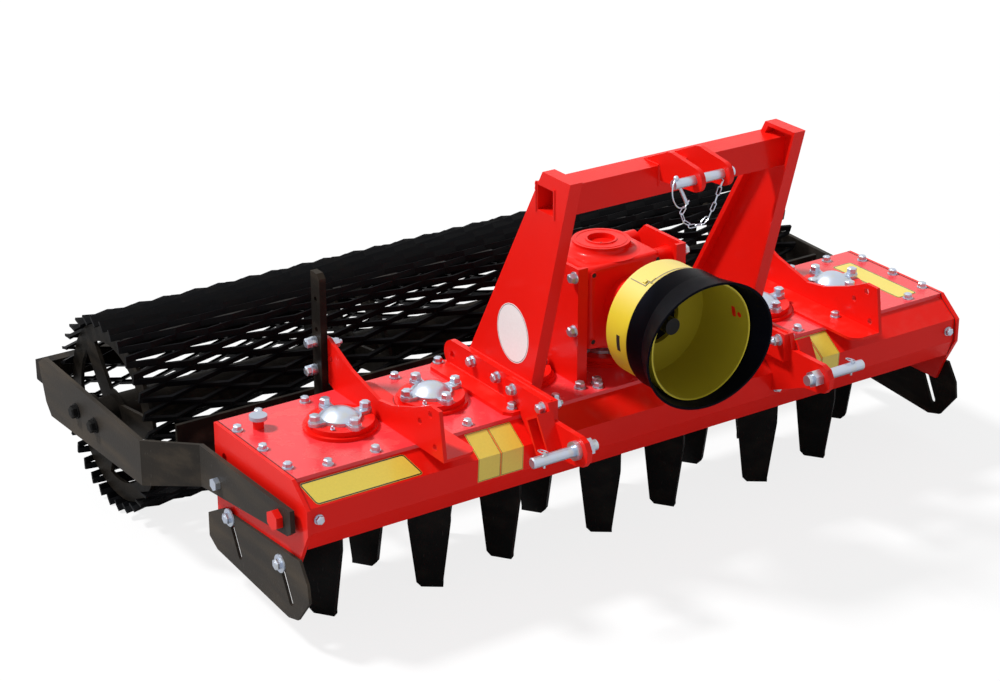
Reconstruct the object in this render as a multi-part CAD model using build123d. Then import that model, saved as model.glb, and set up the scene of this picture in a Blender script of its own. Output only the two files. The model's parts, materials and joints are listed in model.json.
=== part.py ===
from build123d import *
import math
import os

# Power harrow with a rear cage roller, in millimetres.
# X runs along the working width, -Y faces the tractor, +Y the roller, and Z is up from the floor.
# Sizes are given from the rotor line, which is moved to its place in the shared frame at the end.

# Rotors and tines
ROTOR_COUNT = 7
ROTOR_PITCH = 210.0
REST_ANGLE = 36.0
TINE_RADIUS = 108.0
TINE_THICK = 16.0
TINE_TOP_WIDTH = 86.0
TINE_TIP_WIDTH = 54.0
TINE_TOP = 202.0
TINE_CORNER = 10.0
CARRIER_WIDTH = 66.0
CARRIER_DEPTH = 34.0
CARRIER_TOP = 204.0
HUB_RADIUS = 46.0
HUB_TOP = 214.0
SHAFT_RADIUS = 25.0
SHAFT_LENGTH = 46.0
RUNNING_GAP = 0.3

# Gear trough, lid and end plates
TROUGH_BOTTOM = 221.0
TROUGH_TOP = 348.0
TROUGH_BACK = 157.0
TROUGH_FRONT = -198.0
FRONT_LOW = 259.0
FRONT_HIGH = 312.0
BOTTOM_INSET = 15.0
LID_FRONT = -150.0
LID_THICK = 8.0
END_REACH = 186.5
END_THICK = 8.0
END_PROUD = 6.0
END_LIP_FRONT = -168.0
END_LIP_HEIGHT = 191.0
END_BOTTOM = 152.0

# Bearing flanges and caps over the rotors
FLANGE_RADIUS = 74.0
FLANGE_RING = 7.0
FLANGE_BOSS_RADIUS = 67.0
FLANGE_HEIGHT = 18.0
CAP_ARM_REACH = 57.0
CAP_ARM_WIDTH = 26.0
CAP_ARM_HEIGHT = 7.0
DOME_RADIUS = 38.0
DOME_HEIGHT = 17.0

# Soil deflectors at the ends
DEFLECTOR_THICK = 6.0
DEFLECTOR_FRONT = -211.0
DEFLECTOR_BACK = 188.0
DEFLECTOR_BOTTOM = 56.0
DEFLECTOR_TOP = 200.0
DEFLECTOR_SLOT_WIDTH = 15.0
DEFLECTOR_SLOT_RUN = 34.0
DEFLECTOR_SLOT_DROP = 66.0

# Roller frame
PIVOT_Y = -125.0
PIVOT_Z = 270.0
PIVOT_RADIUS = 12.5
PIVOT_HEAD_RADIUS = 21.0
PIVOT_HEAD_HEIGHT = 14.0
ARM_GAP = 8.0
ARM_THICK = 10.0
ARM_JOG_START = 190.0
ARM_JOG_END = 316.0
ARM_OUT = 69.5
ROLLER_SIDE_GAP = 41.0
LOCK_Y = 118.0
LOCK_Z = 243.0
LOCK_RADIUS = 8.0
LOCK_SLOT_WIDTH = 18.0
LIFT_ANGLE = 12.0

# Cage roller
ROLLER_Y = 587.0
ROLLER_RADIUS = 215.0
ROLLER_HALF = 861.0
CAGE_DIAMONDS = 32
CAGE_HALF_PITCHES = 26
STRAND_TILT = 51.5
STRAND_THICK = 6.0
BOND_OVERLAP = 0.4
SEAT_GAP = 0.2
DISC_INSET = 24.0
DISC_BOND = 9
DISC_THICK = 8.0
DISC_RIM = 40.0
SPOKE_WIDTH = 52.0
SPOKE_COUNT = 3
SPOKE_ANGLE = 52.0
ROLLER_HUB_RADIUS = 52.0
CORE_RADIUS = 38.0
AXLE_RADIUS = 20.0
BEARING_RADIUS = 50.0
BEARING_DEPTH = 24.0
REAR_BAR_HEIGHT = 47.0
REAR_BAR_DEPTH = 28.0
REAR_BAR_BOTTOM = 215.0
ROLLER_CLEARANCE = 6.0

# Levelling board and its posts
BOARD_Y = 290.0
BOARD_THICK = 8.0
BOARD_BOTTOM = 200.0
BOARD_TOP = 300.0
BOARD_HALF = 840.0
POST_THICK = 15.0
POST_DEPTH = 34.0
POST_FRONT = 177.0
POST_TOP = 600.0
POST_BOTTOM = 246.0
POST_FOOT = 40.0
POST_BEVEL = 10.0
POST_HOLE_RADIUS = 5.5
POST_HOLE_PITCH = 66.0

# Wing brackets
WING_X = 552.0
WING_THICK = 8.0
WING_FRONT = -250.0
WING_BACK = 188.0
WING_TOP = 462.0
WING_NECK = 398.0
WING_FOOT_WIDTH = 78.0
WING_FOOT_THICK = 6.0
WING_FOOT_BACK = 146.0
WING_FOOT_ROUND = 25.0
WING_FLANGE_GAP = 3.0
WING_HOLE_RADIUS = 7.0

# Headstock
BASE_X = 297.0
BASE_THICK = 12.0
BASE_TOP = 417.0
BASE_REAR = 112.0
BASE_FRONT = -245.0
FOOT_WIDTH = 42.0
FOOT_THICK = 8.0
UPRIGHT_THICK = 8.0
UPRIGHT_DEPTH = 28.0
UPRIGHT_FOOT = 386.0
UPRIGHT_TOP = 867.0
UPRIGHT_TOP_FRONT = -277.0
UPRIGHT_TOP_BACK = -187.0
UPRIGHT_FOOT_FRONT = -145.0
UPRIGHT_FOOT_BACK = 82.0
CROSS_TUBE = 60.0
CROSS_WALL = 5.0
CROSS_Y = -197.0
CROSS_DROP = 54.0
EAR_X = 29.0
EAR_THICK = 10.0
EAR_NOSE_RADIUS = 24.0
EAR_HUMP_RADIUS = 26.0
EAR_HUMP_BACK = 73.0
EAR_HUMP_RISE = 8.0
EAR_SEAT = 50.0
TOP_PIN_Y = -335.0
TOP_PIN_RISE = 32.0
TOP_PIN_RADIUS = 9.5
TOP_PIN_LEFT = 88.0
TOP_PIN_RIGHT = 54.0

# Lower hitch
LUG_THICK = 12.0
LINK_PIN_Y = -342.0
LINK_PIN_Z = 355.0
LINK_PIN_RADIUS = 11.0
LINK_PIN_REACH = 105.0
COLLAR_RADIUS = 19.0
COLLAR_THICK = 10.0
NUT_RADIUS = 18.0
NUT_THICK = 20.0
THREAD_LENGTH = 12.0
STUB_WIDTH = 45.0
STUB_HEIGHT = 74.0
STUB_WALL = 5.0
STUB_LENGTH = 34.0
STUB_TILT = 30.0
STUB_Y = -256.0
STUB_Z = 362.0

# Gearbox, input shaft and shield
GEARBOX_HALF = 93.0
GEARBOX_FRONT = -78.0
GEARBOX_BACK = 96.0
GEARBOX_BOTTOM = 415.0
GEARBOX_TOP = 590.0
GEARBOX_ROUND = 18.0
PEDESTAL_RADIUS = 70.0
COVER_RADIUS = 60.0
COVER_HEIGHT = 20.0
COVER_DISH_RADIUS = 28.0
COVER_DISH_DEPTH = 9.0
SIDE_PLATE_X = 135.0
SIDE_PLATE_THICK = 8.0
SIDE_PLATE_FRONT = -100.0
SIDE_PLATE_BACK = 90.0
SIDE_PLATE_TOP = 606.0
SIDE_PLATE_CORNER = 60.0
SIDE_FLANGE = 24.0
PAD_RADIUS = 20.0
PAD_FRONT = -50.0
PAD_BACK = 62.0
PAD_LOW = 465.0
PAD_HIGH = 565.0
INPUT_Z = 500.0
NECK_RADIUS = 55.0
NECK_FRONT = -170.0
INPUT_RADIUS = 17.5
JOURNAL_RADIUS = 22.0
INPUT_FRONT = -235.0
INPUT_DEPTH = 60.0
SHIELD_RADIUS = 122.0
SHIELD_WALL = 4.0
SHIELD_BACK = -178.0
SHIELD_FRONT = -326.0
COLLAR_BACK = -250.0
COLLAR_BEND = -300.0
COLLAR_FRONT = -355.0
RUBBER_WALL = 5.0
MOUTH_HALF_WIDTH = 156.0
MOUTH_HALF_HEIGHT = 130.0

# Filler plug on the lid
PLUG_X = -765.0
PLUG_Y = 84.0

# Places worked out from the sizes above
ROTOR_X = [(i - (ROTOR_COUNT - 1) / 2) * ROTOR_PITCH for i in range(ROTOR_COUNT)]
TROUGH_HALF = ROTOR_X[-1] + END_REACH
END_OUTER = TROUGH_HALF + END_THICK
LID_TOP = TROUGH_TOP + LID_THICK
ARM_INNER = END_OUTER + ARM_GAP
ARM_OUTER = ARM_INNER + ARM_THICK
REAR_INNER = max(ARM_INNER + ARM_OUT, ROLLER_HALF + ROLLER_SIDE_GAP)
REAR_OUTER = REAR_INNER + ARM_THICK
ROLLER_Z = ROLLER_RADIUS
REAR_BAR_FRONT = ROLLER_Y + ROLLER_RADIUS + ROLLER_CLEARANCE
REAR_BAR_BACK = REAR_BAR_FRONT + REAR_BAR_DEPTH
TILT = math.radians(STRAND_TILT)
STRAND_TURN = math.pi / CAGE_DIAMONDS
BOND_REACH = STRAND_THICK / 2 * math.cos(TILT) + BOND_OVERLAP / 2 * math.sin(TILT)
STRAND_WIDTH = (ROLLER_RADIUS - BOND_REACH) / (1 / (STRAND_TURN * math.cos(TILT)) + math.sin(TILT))
CAGE_DEPTH = 2 * (STRAND_WIDTH * math.sin(TILT) + BOND_REACH)
CAGE_MIDDLE = ROLLER_RADIUS - CAGE_DEPTH / 2
CAGE_PITCH = 2 * ROLLER_HALF / CAGE_HALF_PITCHES
BASE_INNER = BASE_X - BASE_THICK
CROSS_Z = UPRIGHT_TOP - CROSS_DROP
TOP_PIN_Z = CROSS_Z + TOP_PIN_RISE
LUG_OUTER = BASE_X + LUG_THICK
FRONT_LIMIT = LINK_PIN_Y - 34.0
SHIFT_Y = -(REAR_BAR_BACK + FRONT_LIMIT) / 2


def yz_plate(points, x0, x1):
    """Flat plate with an outline of (y, z) points, from x0 to x1."""
    face = make_face(Polyline(*[(x0, y, z) for y, z in points], close=True))
    return extrude(face, amount=x1 - x0, dir=(1, 0, 0))


def xy_plate(points, z0, z1):
    """Flat plate with an outline of (x, y) points, from z0 to z1."""
    face = make_face(Polyline(*[(x, y, z0) for x, y in points], close=True))
    return extrude(face, amount=z1 - z0, dir=(0, 0, 1))


def box(x0, x1, y0, y1, z0, z1):
    """Block between two corners."""
    return Pos((x0 + x1) / 2, (y0 + y1) / 2, (z0 + z1) / 2) * Box(x1 - x0, y1 - y0, z1 - z0)


def x_rod(radius, x0, x1, y, z):
    """Round bar along X."""
    return Pos((x0 + x1) / 2, y, z) * Rot(0, 90, 0) * Cylinder(radius, abs(x1 - x0))


def y_rod(radius, y0, y1, x, z):
    """Round bar along Y."""
    return Pos(x, (y0 + y1) / 2, z) * Rot(90, 0, 0) * Cylinder(radius, abs(y1 - y0))


def z_rod(radius, z0, z1, x, y):
    """Round bar along Z."""
    return Pos(x, y, (z0 + z1) / 2) * Cylinder(radius, z1 - z0)


def x_hex(radius, x0, x1, y, z):
    """Six-sided bar along X."""
    face = Plane(origin=(x0, y, z), z_dir=(1, 0, 0)) * RegularPolygon(radius, 6)
    return extrude(face, amount=x1 - x0)


def mirrored(shape):
    """The same piece on the other side of the machine."""
    return mirror(shape, about=Plane.YZ)


def pair(name, shape, pieces):
    """Adds a left piece, given on the -X side, and its mirror image on the right."""
    pieces[name + "_left"] = shape
    pieces[name + "_right"] = mirrored(shape)


def trough():
    """Gear trough: one long closed casing with a bored boss for each rotor shaft."""
    outline = [
        (TROUGH_BACK, TROUGH_BOTTOM),
        (TROUGH_FRONT + BOTTOM_INSET, TROUGH_BOTTOM),
        (TROUGH_FRONT, FRONT_LOW),
        (TROUGH_FRONT, FRONT_HIGH),
        (LID_FRONT, TROUGH_TOP),
        (TROUGH_BACK, TROUGH_TOP),
    ]
    body = yz_plate(outline, -TROUGH_HALF, TROUGH_HALF)
    for x in ROTOR_X:
        body -= z_rod(SHAFT_RADIUS + RUNNING_GAP, TROUGH_BOTTOM - 1, HUB_TOP + SHAFT_LENGTH + 1, x, 0)
    return body


def lid():
    """Flat lid bolted on the trough."""
    return box(-TROUGH_HALF, TROUGH_HALF, LID_FRONT, TROUGH_BACK, TROUGH_TOP, LID_TOP)


def lock_slot():
    """Curved slot that the arm's lock bolt moves in, as a cutting tool on the left."""
    reach = math.hypot(LOCK_Y - PIVOT_Y, LOCK_Z - PIVOT_Z)
    start = math.degrees(math.atan2(LOCK_Z - PIVOT_Z, LOCK_Y - PIVOT_Y))
    path = CenterArc((PIVOT_Y, PIVOT_Z), reach, start, LIFT_ANGLE)
    face = Plane(origin=(-END_OUTER - 1, 0, 0), x_dir=(0, 1, 0), z_dir=(1, 0, 0)) * SlotArc(path, LOCK_SLOT_WIDTH)
    return extrude(face, amount=END_THICK + 1)


def end_plate():
    """Left end plate, a little proud of the trough's front, with its lip below."""
    front = TROUGH_FRONT - END_PROUD
    outline = [
        (TROUGH_BACK, LID_TOP),
        (LID_FRONT, LID_TOP),
        (front, FRONT_HIGH),
        (front, FRONT_LOW),
        (END_LIP_FRONT, END_LIP_HEIGHT),
        (END_LIP_FRONT + 16, END_BOTTOM),
        (TROUGH_BACK, END_BOTTOM),
    ]
    return yz_plate(outline, -END_OUTER, -TROUGH_HALF) - lock_slot()


def deflector():
    """Left soil deflector: a hanging plate with two slanted slots."""
    outline = [
        (DEFLECTOR_BACK, DEFLECTOR_BOTTOM + 91),
        (DEFLECTOR_BACK - 61, DEFLECTOR_TOP - 19),
        (DEFLECTOR_FRONT + 32, DEFLECTOR_TOP),
        (DEFLECTOR_FRONT + 5, DEFLECTOR_TOP - 41),
        (DEFLECTOR_FRONT, DEFLECTOR_TOP - 77),
        (DEFLECTOR_FRONT + 46, DEFLECTOR_BOTTOM + 10),
        (DEFLECTOR_FRONT + 82, DEFLECTOR_BOTTOM),
        (DEFLECTOR_BACK - 32, DEFLECTOR_BOTTOM + 21),
        (DEFLECTOR_BACK, DEFLECTOR_BOTTOM + 39),
    ]
    outer = -END_OUTER - DEFLECTOR_THICK
    plate = yz_plate(outline, outer, -END_OUTER)
    face = Plane(origin=(outer - 1, 0, 0), x_dir=(0, 1, 0), z_dir=(1, 0, 0))
    tilt = math.degrees(math.atan2(DEFLECTOR_SLOT_DROP, DEFLECTOR_SLOT_RUN))
    length = math.hypot(DEFLECTOR_SLOT_DROP, DEFLECTOR_SLOT_RUN) + DEFLECTOR_SLOT_WIDTH
    # y and z of each slot's top end
    for y, z in ((DEFLECTOR_BACK - 94, DEFLECTOR_TOP - 30), (DEFLECTOR_FRONT + 104, DEFLECTOR_TOP - 40)):
        middle = (y - DEFLECTOR_SLOT_RUN / 2, z - DEFLECTOR_SLOT_DROP / 2)
        slot = face * Pos(*middle) * SlotOverall(length, DEFLECTOR_SLOT_WIDTH, rotation=tilt)
        plate -= extrude(slot, amount=DEFLECTOR_THICK + 2)
    return plate


def bearing_flanges():
    """Round flange over each rotor: a ring on the lid with a boss on it."""
    flanges = []
    for x in ROTOR_X:
        ring = z_rod(FLANGE_RADIUS, LID_TOP, LID_TOP + FLANGE_RING, x, 0)
        flanges.append(ring + z_rod(FLANGE_BOSS_RADIUS, LID_TOP, LID_TOP + FLANGE_HEIGHT, x, 0))
    return flanges


def bearing_caps():
    """Four-armed cap with a domed middle over each rotor."""
    caps = []
    base = LID_TOP + FLANGE_HEIGHT
    sphere = (DOME_RADIUS ** 2 + DOME_HEIGHT ** 2) / (2 * DOME_HEIGHT)
    for x in ROTOR_X:
        cap = z_rod(DOME_RADIUS + 4, base, base + CAP_ARM_HEIGHT, x, 0)
        for turn in (0, 90):
            arm = SlotCenterToCenter(2 * CAP_ARM_REACH, CAP_ARM_WIDTH, rotation=turn)
            cap += extrude(Pos(x, 0, base) * arm, amount=CAP_ARM_HEIGHT)
        ball = Pos(x, 0, base + CAP_ARM_HEIGHT + DOME_HEIGHT - sphere) * Sphere(sphere)
        dome = ball & z_rod(DOME_RADIUS + 4, base + 1, base + CAP_ARM_HEIGHT + DOME_HEIGHT + 1, x, 0)
        caps.append(cap + dome)
    return caps


def filler_plug():
    """Filler and breather plug on the lid."""
    return z_rod(11, LID_TOP, LID_TOP + 22, PLUG_X, PLUG_Y) + z_rod(18, LID_TOP + 20, LID_TOP + 28, PLUG_X, PLUG_Y)


def wing_bracket():
    """Left wing bracket: an angle whose web rises to a tail, with its foot on the lid."""
    outline = [
        (WING_BACK, WING_TOP),
        (WING_BACK - 12, WING_TOP),
        (90, WING_TOP - 38),
        (-14, WING_NECK),
        (-69, WING_NECK + 8),
        (-149, WING_TOP - 28),
        (-201, WING_TOP - 4),
        (WING_FRONT + 15, WING_TOP - 5),
        (WING_FRONT, LID_TOP),
        (TROUGH_BACK, LID_TOP),
        (WING_BACK, LID_TOP + 12),
    ]
    inner = -WING_X + WING_THICK
    web = yz_plate(outline, -WING_X, inner)
    for y, z in ((-204, 440), (-219, 377), (-166, 412), (166, 420)):
        web -= x_rod(WING_HOLE_RADIUS, -WING_X - 1, inner + 1, y, z)
    foot = box(inner - 1, -WING_X + WING_FOOT_WIDTH, WING_FRONT, WING_FOOT_BACK, LID_TOP, LID_TOP + WING_FOOT_THICK)
    foot = fillet(foot.edges().filter_by(Axis.Z).group_by(Axis.X)[-1], WING_FOOT_ROUND)
    for x in ROTOR_X:
        foot -= z_rod(FLANGE_RADIUS + WING_FLANGE_GAP, LID_TOP - 1, LID_TOP + WING_FOOT_THICK + 1, x, 0)
    return web + foot


def post():
    """Left post on the wing bracket's tail, with the foot that carries the board."""
    back = POST_FRONT + POST_DEPTH
    outline = [
        (POST_FRONT, POST_BOTTOM),
        (POST_FRONT, POST_TOP - POST_BEVEL),
        (POST_FRONT + POST_BEVEL, POST_TOP),
        (back, POST_TOP),
        (back, POST_BOTTOM),
    ]
    bar = yz_plate(outline, -WING_X - POST_THICK, -WING_X)
    for step in (1, 2):
        z = POST_TOP + POST_BEVEL - step * POST_HOLE_PITCH
        bar -= x_rod(POST_HOLE_RADIUS, -WING_X - POST_THICK - 1, -WING_X + 1, POST_FRONT + POST_DEPTH / 2, z)
    foot = box(-WING_X - POST_THICK, -WING_X, back - 1, BOARD_Y, POST_BOTTOM, POST_BOTTOM + POST_FOOT)
    return bar + foot


def levelling_board():
    """Levelling board between the rotors and the roller."""
    return box(-BOARD_HALF, BOARD_HALF, BOARD_Y, BOARD_Y + BOARD_THICK, BOARD_BOTTOM, BOARD_TOP)


def base_plate():
    """Left base plate of the headstock, with a rounded tail and a foot on the lid."""
    radius = (BASE_TOP - LID_TOP) / 2
    middle = (BASE_TOP + LID_TOP) / 2
    plate = box(-BASE_X, -BASE_INNER, BASE_FRONT, BASE_REAR, LID_TOP, BASE_TOP)
    plate += x_rod(radius, -BASE_X, -BASE_INNER, BASE_REAR, middle)
    plate -= x_rod(8, -BASE_X - 1, -BASE_INNER + 1, BASE_REAR, middle)
    foot = [
        (-BASE_X, 145),
        (-BASE_X - FOOT_WIDTH + 12, 145),
        (-BASE_X - FOOT_WIDTH, 130),
        (-BASE_X - FOOT_WIDTH, -134),
        (-BASE_X - FOOT_WIDTH + 12, LID_FRONT),
        (-BASE_X, LID_FRONT),
    ]
    return plate + xy_plate(foot, LID_TOP, LID_TOP + FOOT_THICK)


def upright():
    """Left upright: a tapered plate with its front, top and back edges folded inwards."""
    t = UPRIGHT_THICK
    outer = [
        (UPRIGHT_TOP_FRONT, UPRIGHT_TOP),
        (UPRIGHT_TOP_BACK, UPRIGHT_TOP),
        (UPRIGHT_FOOT_BACK, UPRIGHT_FOOT),
        (UPRIGHT_FOOT_FRONT, UPRIGHT_FOOT),
    ]
    front_fold = t * math.hypot(1, (UPRIGHT_FOOT_FRONT - UPRIGHT_TOP_FRONT) / (UPRIGHT_TOP - UPRIGHT_FOOT))
    back_fold = t * math.hypot(1, (UPRIGHT_FOOT_BACK - UPRIGHT_TOP_BACK) / (UPRIGHT_TOP - UPRIGHT_FOOT))
    inner = [
        (UPRIGHT_TOP_FRONT + front_fold, UPRIGHT_TOP - t),
        (UPRIGHT_TOP_BACK - back_fold, UPRIGHT_TOP - t),
        (UPRIGHT_FOOT_BACK - back_fold, UPRIGHT_FOOT - 1),
        (UPRIGHT_FOOT_FRONT + front_fold, UPRIGHT_FOOT - 1),
    ]
    shell = yz_plate(outer, -BASE_INNER, -BASE_INNER + UPRIGHT_DEPTH)
    shell -= yz_plate(inner, -BASE_INNER + t, -BASE_INNER + UPRIGHT_DEPTH + 1)
    half = CROSS_TUBE / 2
    window = box(-BASE_INNER - 1, -BASE_INNER + UPRIGHT_DEPTH + 1,
                 CROSS_Y - half, CROSS_Y + half, CROSS_Z - half, CROSS_Z + half)
    return shell - window


def cross_tube():
    """Square tube through both uprights."""
    half = CROSS_TUBE / 2
    inner = half - CROSS_WALL
    tube = box(-BASE_INNER, BASE_INNER, CROSS_Y - half, CROSS_Y + half, CROSS_Z - half, CROSS_Z + half)
    return tube - box(-BASE_X, BASE_X, CROSS_Y - inner, CROSS_Y + inner, CROSS_Z - inner, CROSS_Z + inner)


def top_link_ear():
    """Left ear of the top link clevis: a nose round the pin, a hump and a seat on the cross tube."""
    front = CROSS_Y - CROSS_TUBE / 2
    bottom = CROSS_Z
    top = CROSS_Z + CROSS_TUBE / 2
    nose = Pos(TOP_PIN_Y, TOP_PIN_Z) * Edge.make_circle(EAR_NOSE_RADIUS)
    hump = Pos(TOP_PIN_Y + EAR_HUMP_BACK, TOP_PIN_Z + EAR_HUMP_RISE) * Edge.make_circle(EAR_HUMP_RADIUS)
    seat_front = Edge.make_line((front, bottom), (front, top))
    seat_top = Edge.make_line((front, top), (front + EAR_SEAT, top))
    outline = make_hull([nose, hump, seat_front, seat_top])
    plane = Plane(origin=(-EAR_X - EAR_THICK, 0, 0), x_dir=(0, 1, 0), z_dir=(1, 0, 0))
    plate = extrude(plane * outline, amount=EAR_THICK)
    plate -= box(-BASE_X, BASE_X, front, front + CROSS_TUBE, top - CROSS_TUBE, top)
    return plate - x_rod(TOP_PIN_RADIUS + RUNNING_GAP, -EAR_X - EAR_THICK - 1, -EAR_X + 1, TOP_PIN_Y, TOP_PIN_Z)


def top_link_pin():
    """Pin of the top link, with a head on its right end."""
    pin = x_rod(TOP_PIN_RADIUS, -TOP_PIN_LEFT, TOP_PIN_RIGHT, TOP_PIN_Y, TOP_PIN_Z)
    head = x_rod(TOP_PIN_RADIUS + 4, EAR_X + EAR_THICK + 1, EAR_X + EAR_THICK + 7, TOP_PIN_Y, TOP_PIN_Z)
    return pin + head


def hitch_stub():
    """Left open tube stub on the lug's outer face."""
    outer = Rectangle(STUB_WIDTH, STUB_HEIGHT)
    inner = Rectangle(STUB_WIDTH - 2 * STUB_WALL, STUB_HEIGHT - 2 * STUB_WALL)
    plane = Plane(origin=(-LUG_OUTER - STUB_LENGTH, STUB_Y, STUB_Z), x_dir=(0, 1, 0), z_dir=(1, 0, 0))
    return extrude(plane * Rot(0, 0, -STUB_TILT) * (outer - inner), amount=STUB_LENGTH + 1)


def hitch_lug():
    """Left lower hitch lug, on the base plate and the trough's front, with its tube stub."""
    outline = [
        (-100, BASE_TOP),
        (BASE_FRONT, BASE_TOP),
        (BASE_FRONT - 11, LINK_PIN_Z + 29),
        (LINK_PIN_Y - 8, LINK_PIN_Z + 29),
        (LINK_PIN_Y - 24, LINK_PIN_Z + 23),
        (LINK_PIN_Y - 34, LINK_PIN_Z + 7),
        (LINK_PIN_Y - 32, LINK_PIN_Z - 15),
        (LINK_PIN_Y - 20, LINK_PIN_Z - 29),
        (LINK_PIN_Y + 2, LINK_PIN_Z - 35),
        (LINK_PIN_Y + 42, LINK_PIN_Z - 39),
        (TROUGH_FRONT, LINK_PIN_Z - 83),
        (TROUGH_FRONT, FRONT_HIGH),
        (LID_FRONT, LID_TOP),
        (-100, LID_TOP),
    ]
    plate = yz_plate(outline, -LUG_OUTER, -BASE_X)
    plate -= box(-LUG_OUTER - 1, -BASE_X + 1, LID_FRONT - 1, -99, LID_TOP - 1, LID_TOP + FOOT_THICK)
    plate -= x_rod(LINK_PIN_RADIUS, -LUG_OUTER - 1, -BASE_X + 1, LINK_PIN_Y, LINK_PIN_Z)
    return plate + hitch_stub()


def link_pin():
    """Left lower link pin, with its collar and its nut behind the lug."""
    tip = -LUG_OUTER - LINK_PIN_REACH
    pin = x_rod(LINK_PIN_RADIUS, tip, -BASE_X + NUT_THICK + THREAD_LENGTH, LINK_PIN_Y, LINK_PIN_Z)
    pin = chamfer(pin.edges().group_by(Axis.X)[0], 2)
    pin += x_rod(COLLAR_RADIUS, -LUG_OUTER - COLLAR_THICK, -LUG_OUTER, LINK_PIN_Y, LINK_PIN_Z)
    return pin + x_hex(NUT_RADIUS, -BASE_X, -BASE_X + NUT_THICK, LINK_PIN_Y, LINK_PIN_Z)


def gearbox():
    """Angle gearbox over the middle rotor: casting, pedestal, pads and input neck."""
    body = box(-GEARBOX_HALF, GEARBOX_HALF, GEARBOX_FRONT, GEARBOX_BACK, GEARBOX_BOTTOM, GEARBOX_TOP)
    body = fillet(body.edges().filter_by(Axis.Z), GEARBOX_ROUND)
    body = fillet(body.edges().group_by(Axis.Z)[-1], GEARBOX_ROUND * 0.6)
    body += z_rod(PEDESTAL_RADIUS, LID_TOP + FLANGE_HEIGHT + CAP_ARM_HEIGHT + DOME_HEIGHT + 2, GEARBOX_BOTTOM + 1, 0, 0)
    body += y_rod(NECK_RADIUS, NECK_FRONT, GEARBOX_FRONT + 1, 0, INPUT_Z)
    reach = SIDE_PLATE_X - SIDE_PLATE_THICK
    for y in (PAD_FRONT, PAD_BACK):
        for z in (PAD_LOW, PAD_HIGH):
            body += x_rod(PAD_RADIUS, -reach, reach, y, z)
    bore = y_rod(JOURNAL_RADIUS + RUNNING_GAP, NECK_FRONT - 1, NECK_FRONT + INPUT_DEPTH + 1, 0, INPUT_Z)
    return body - bore


def gearbox_cover():
    """Round cover with a dished middle on the gearbox."""
    cover = z_rod(COVER_RADIUS, GEARBOX_TOP, GEARBOX_TOP + COVER_HEIGHT, 0, 8)
    top = GEARBOX_TOP + COVER_HEIGHT
    return cover - z_rod(COVER_DISH_RADIUS, top - COVER_DISH_DEPTH, top + 1, 0, 8)


def gearbox_side_plate():
    """Left plate that carries the gearbox, with its front edge folded in."""
    inner = SIDE_PLATE_X - SIDE_PLATE_THICK
    outline = [
        (SIDE_PLATE_FRONT, LID_TOP),
        (SIDE_PLATE_FRONT, SIDE_PLATE_TOP),
        (SIDE_PLATE_BACK - SIDE_PLATE_CORNER, SIDE_PLATE_TOP),
        (SIDE_PLATE_BACK, SIDE_PLATE_TOP - SIDE_PLATE_CORNER),
        (SIDE_PLATE_BACK, LID_TOP),
    ]
    plate = yz_plate(outline, -SIDE_PLATE_X, -inner)
    fold = box(-SIDE_PLATE_X, -SIDE_PLATE_X + SIDE_FLANGE, SIDE_PLATE_FRONT, SIDE_PLATE_FRONT + SIDE_PLATE_THICK,
               LID_TOP, SIDE_PLATE_TOP)
    return plate + fold


def input_shield():
    """Yellow shield round the input shaft: an open drum with a back wall on the neck."""
    drum = y_rod(SHIELD_RADIUS, SHIELD_FRONT, SHIELD_BACK, 0, INPUT_Z)
    drum -= y_rod(SHIELD_RADIUS - SHIELD_WALL, SHIELD_FRONT - 1, SHIELD_BACK - SHIELD_WALL, 0, INPUT_Z)
    hub = y_rod(NECK_RADIUS + SHIELD_WALL, SHIELD_BACK - SHIELD_WALL, NECK_FRONT + 24, 0, INPUT_Z)
    drum += hub
    return drum - y_rod(NECK_RADIUS, SHIELD_FRONT, NECK_FRONT + 26, 0, INPUT_Z)


def rubber_collar():
    """Rubber collar over the shield's rim, flaring to an oval mouth."""
    back = SHIELD_RADIUS + RUBBER_WALL

    def bell(inset, start, end):
        plane_back = Plane(origin=(0, start, INPUT_Z), x_dir=(1, 0, 0), z_dir=(0, -1, 0))
        plane_bend = Plane(origin=(0, COLLAR_BEND, INPUT_Z), x_dir=(1, 0, 0), z_dir=(0, -1, 0))
        plane_mouth = Plane(origin=(0, end, INPUT_Z), x_dir=(1, 0, 0), z_dir=(0, -1, 0))
        sleeve = extrude(plane_back * Circle(back - inset), amount=start - COLLAR_BEND)
        flare = loft([plane_bend * Circle(back - inset),
                      plane_mouth * Ellipse(MOUTH_HALF_WIDTH - inset, MOUTH_HALF_HEIGHT - inset)])
        return sleeve + flare

    return bell(0, COLLAR_BACK, COLLAR_FRONT) - bell(RUBBER_WALL, COLLAR_BACK + 1, COLLAR_FRONT - 0.5) - \
        y_rod(SHIELD_RADIUS, SHIELD_FRONT, COLLAR_BACK + 1, 0, INPUT_Z)


def input_shaft():
    """Input shaft, with a thicker journal in the gearbox neck."""
    journal = y_rod(JOURNAL_RADIUS, NECK_FRONT, NECK_FRONT + INPUT_DEPTH, 0, INPUT_Z)
    return journal + y_rod(INPUT_RADIUS, INPUT_FRONT, NECK_FRONT + 1, 0, INPUT_Z)


def arm_pivot():
    """Left pivot of the roller frame: spacer, shank and head on the end plate."""
    pin = x_rod(PIVOT_HEAD_RADIUS, -ARM_INNER + RUNNING_GAP, -END_OUTER, PIVOT_Y, PIVOT_Z)
    pin += x_rod(PIVOT_RADIUS, -ARM_OUTER - 1, -ARM_INNER, PIVOT_Y, PIVOT_Z)
    head = -ARM_OUTER - RUNNING_GAP
    return pin + x_hex(PIVOT_HEAD_RADIUS, head - PIVOT_HEAD_HEIGHT, head, PIVOT_Y, PIVOT_Z)


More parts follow.
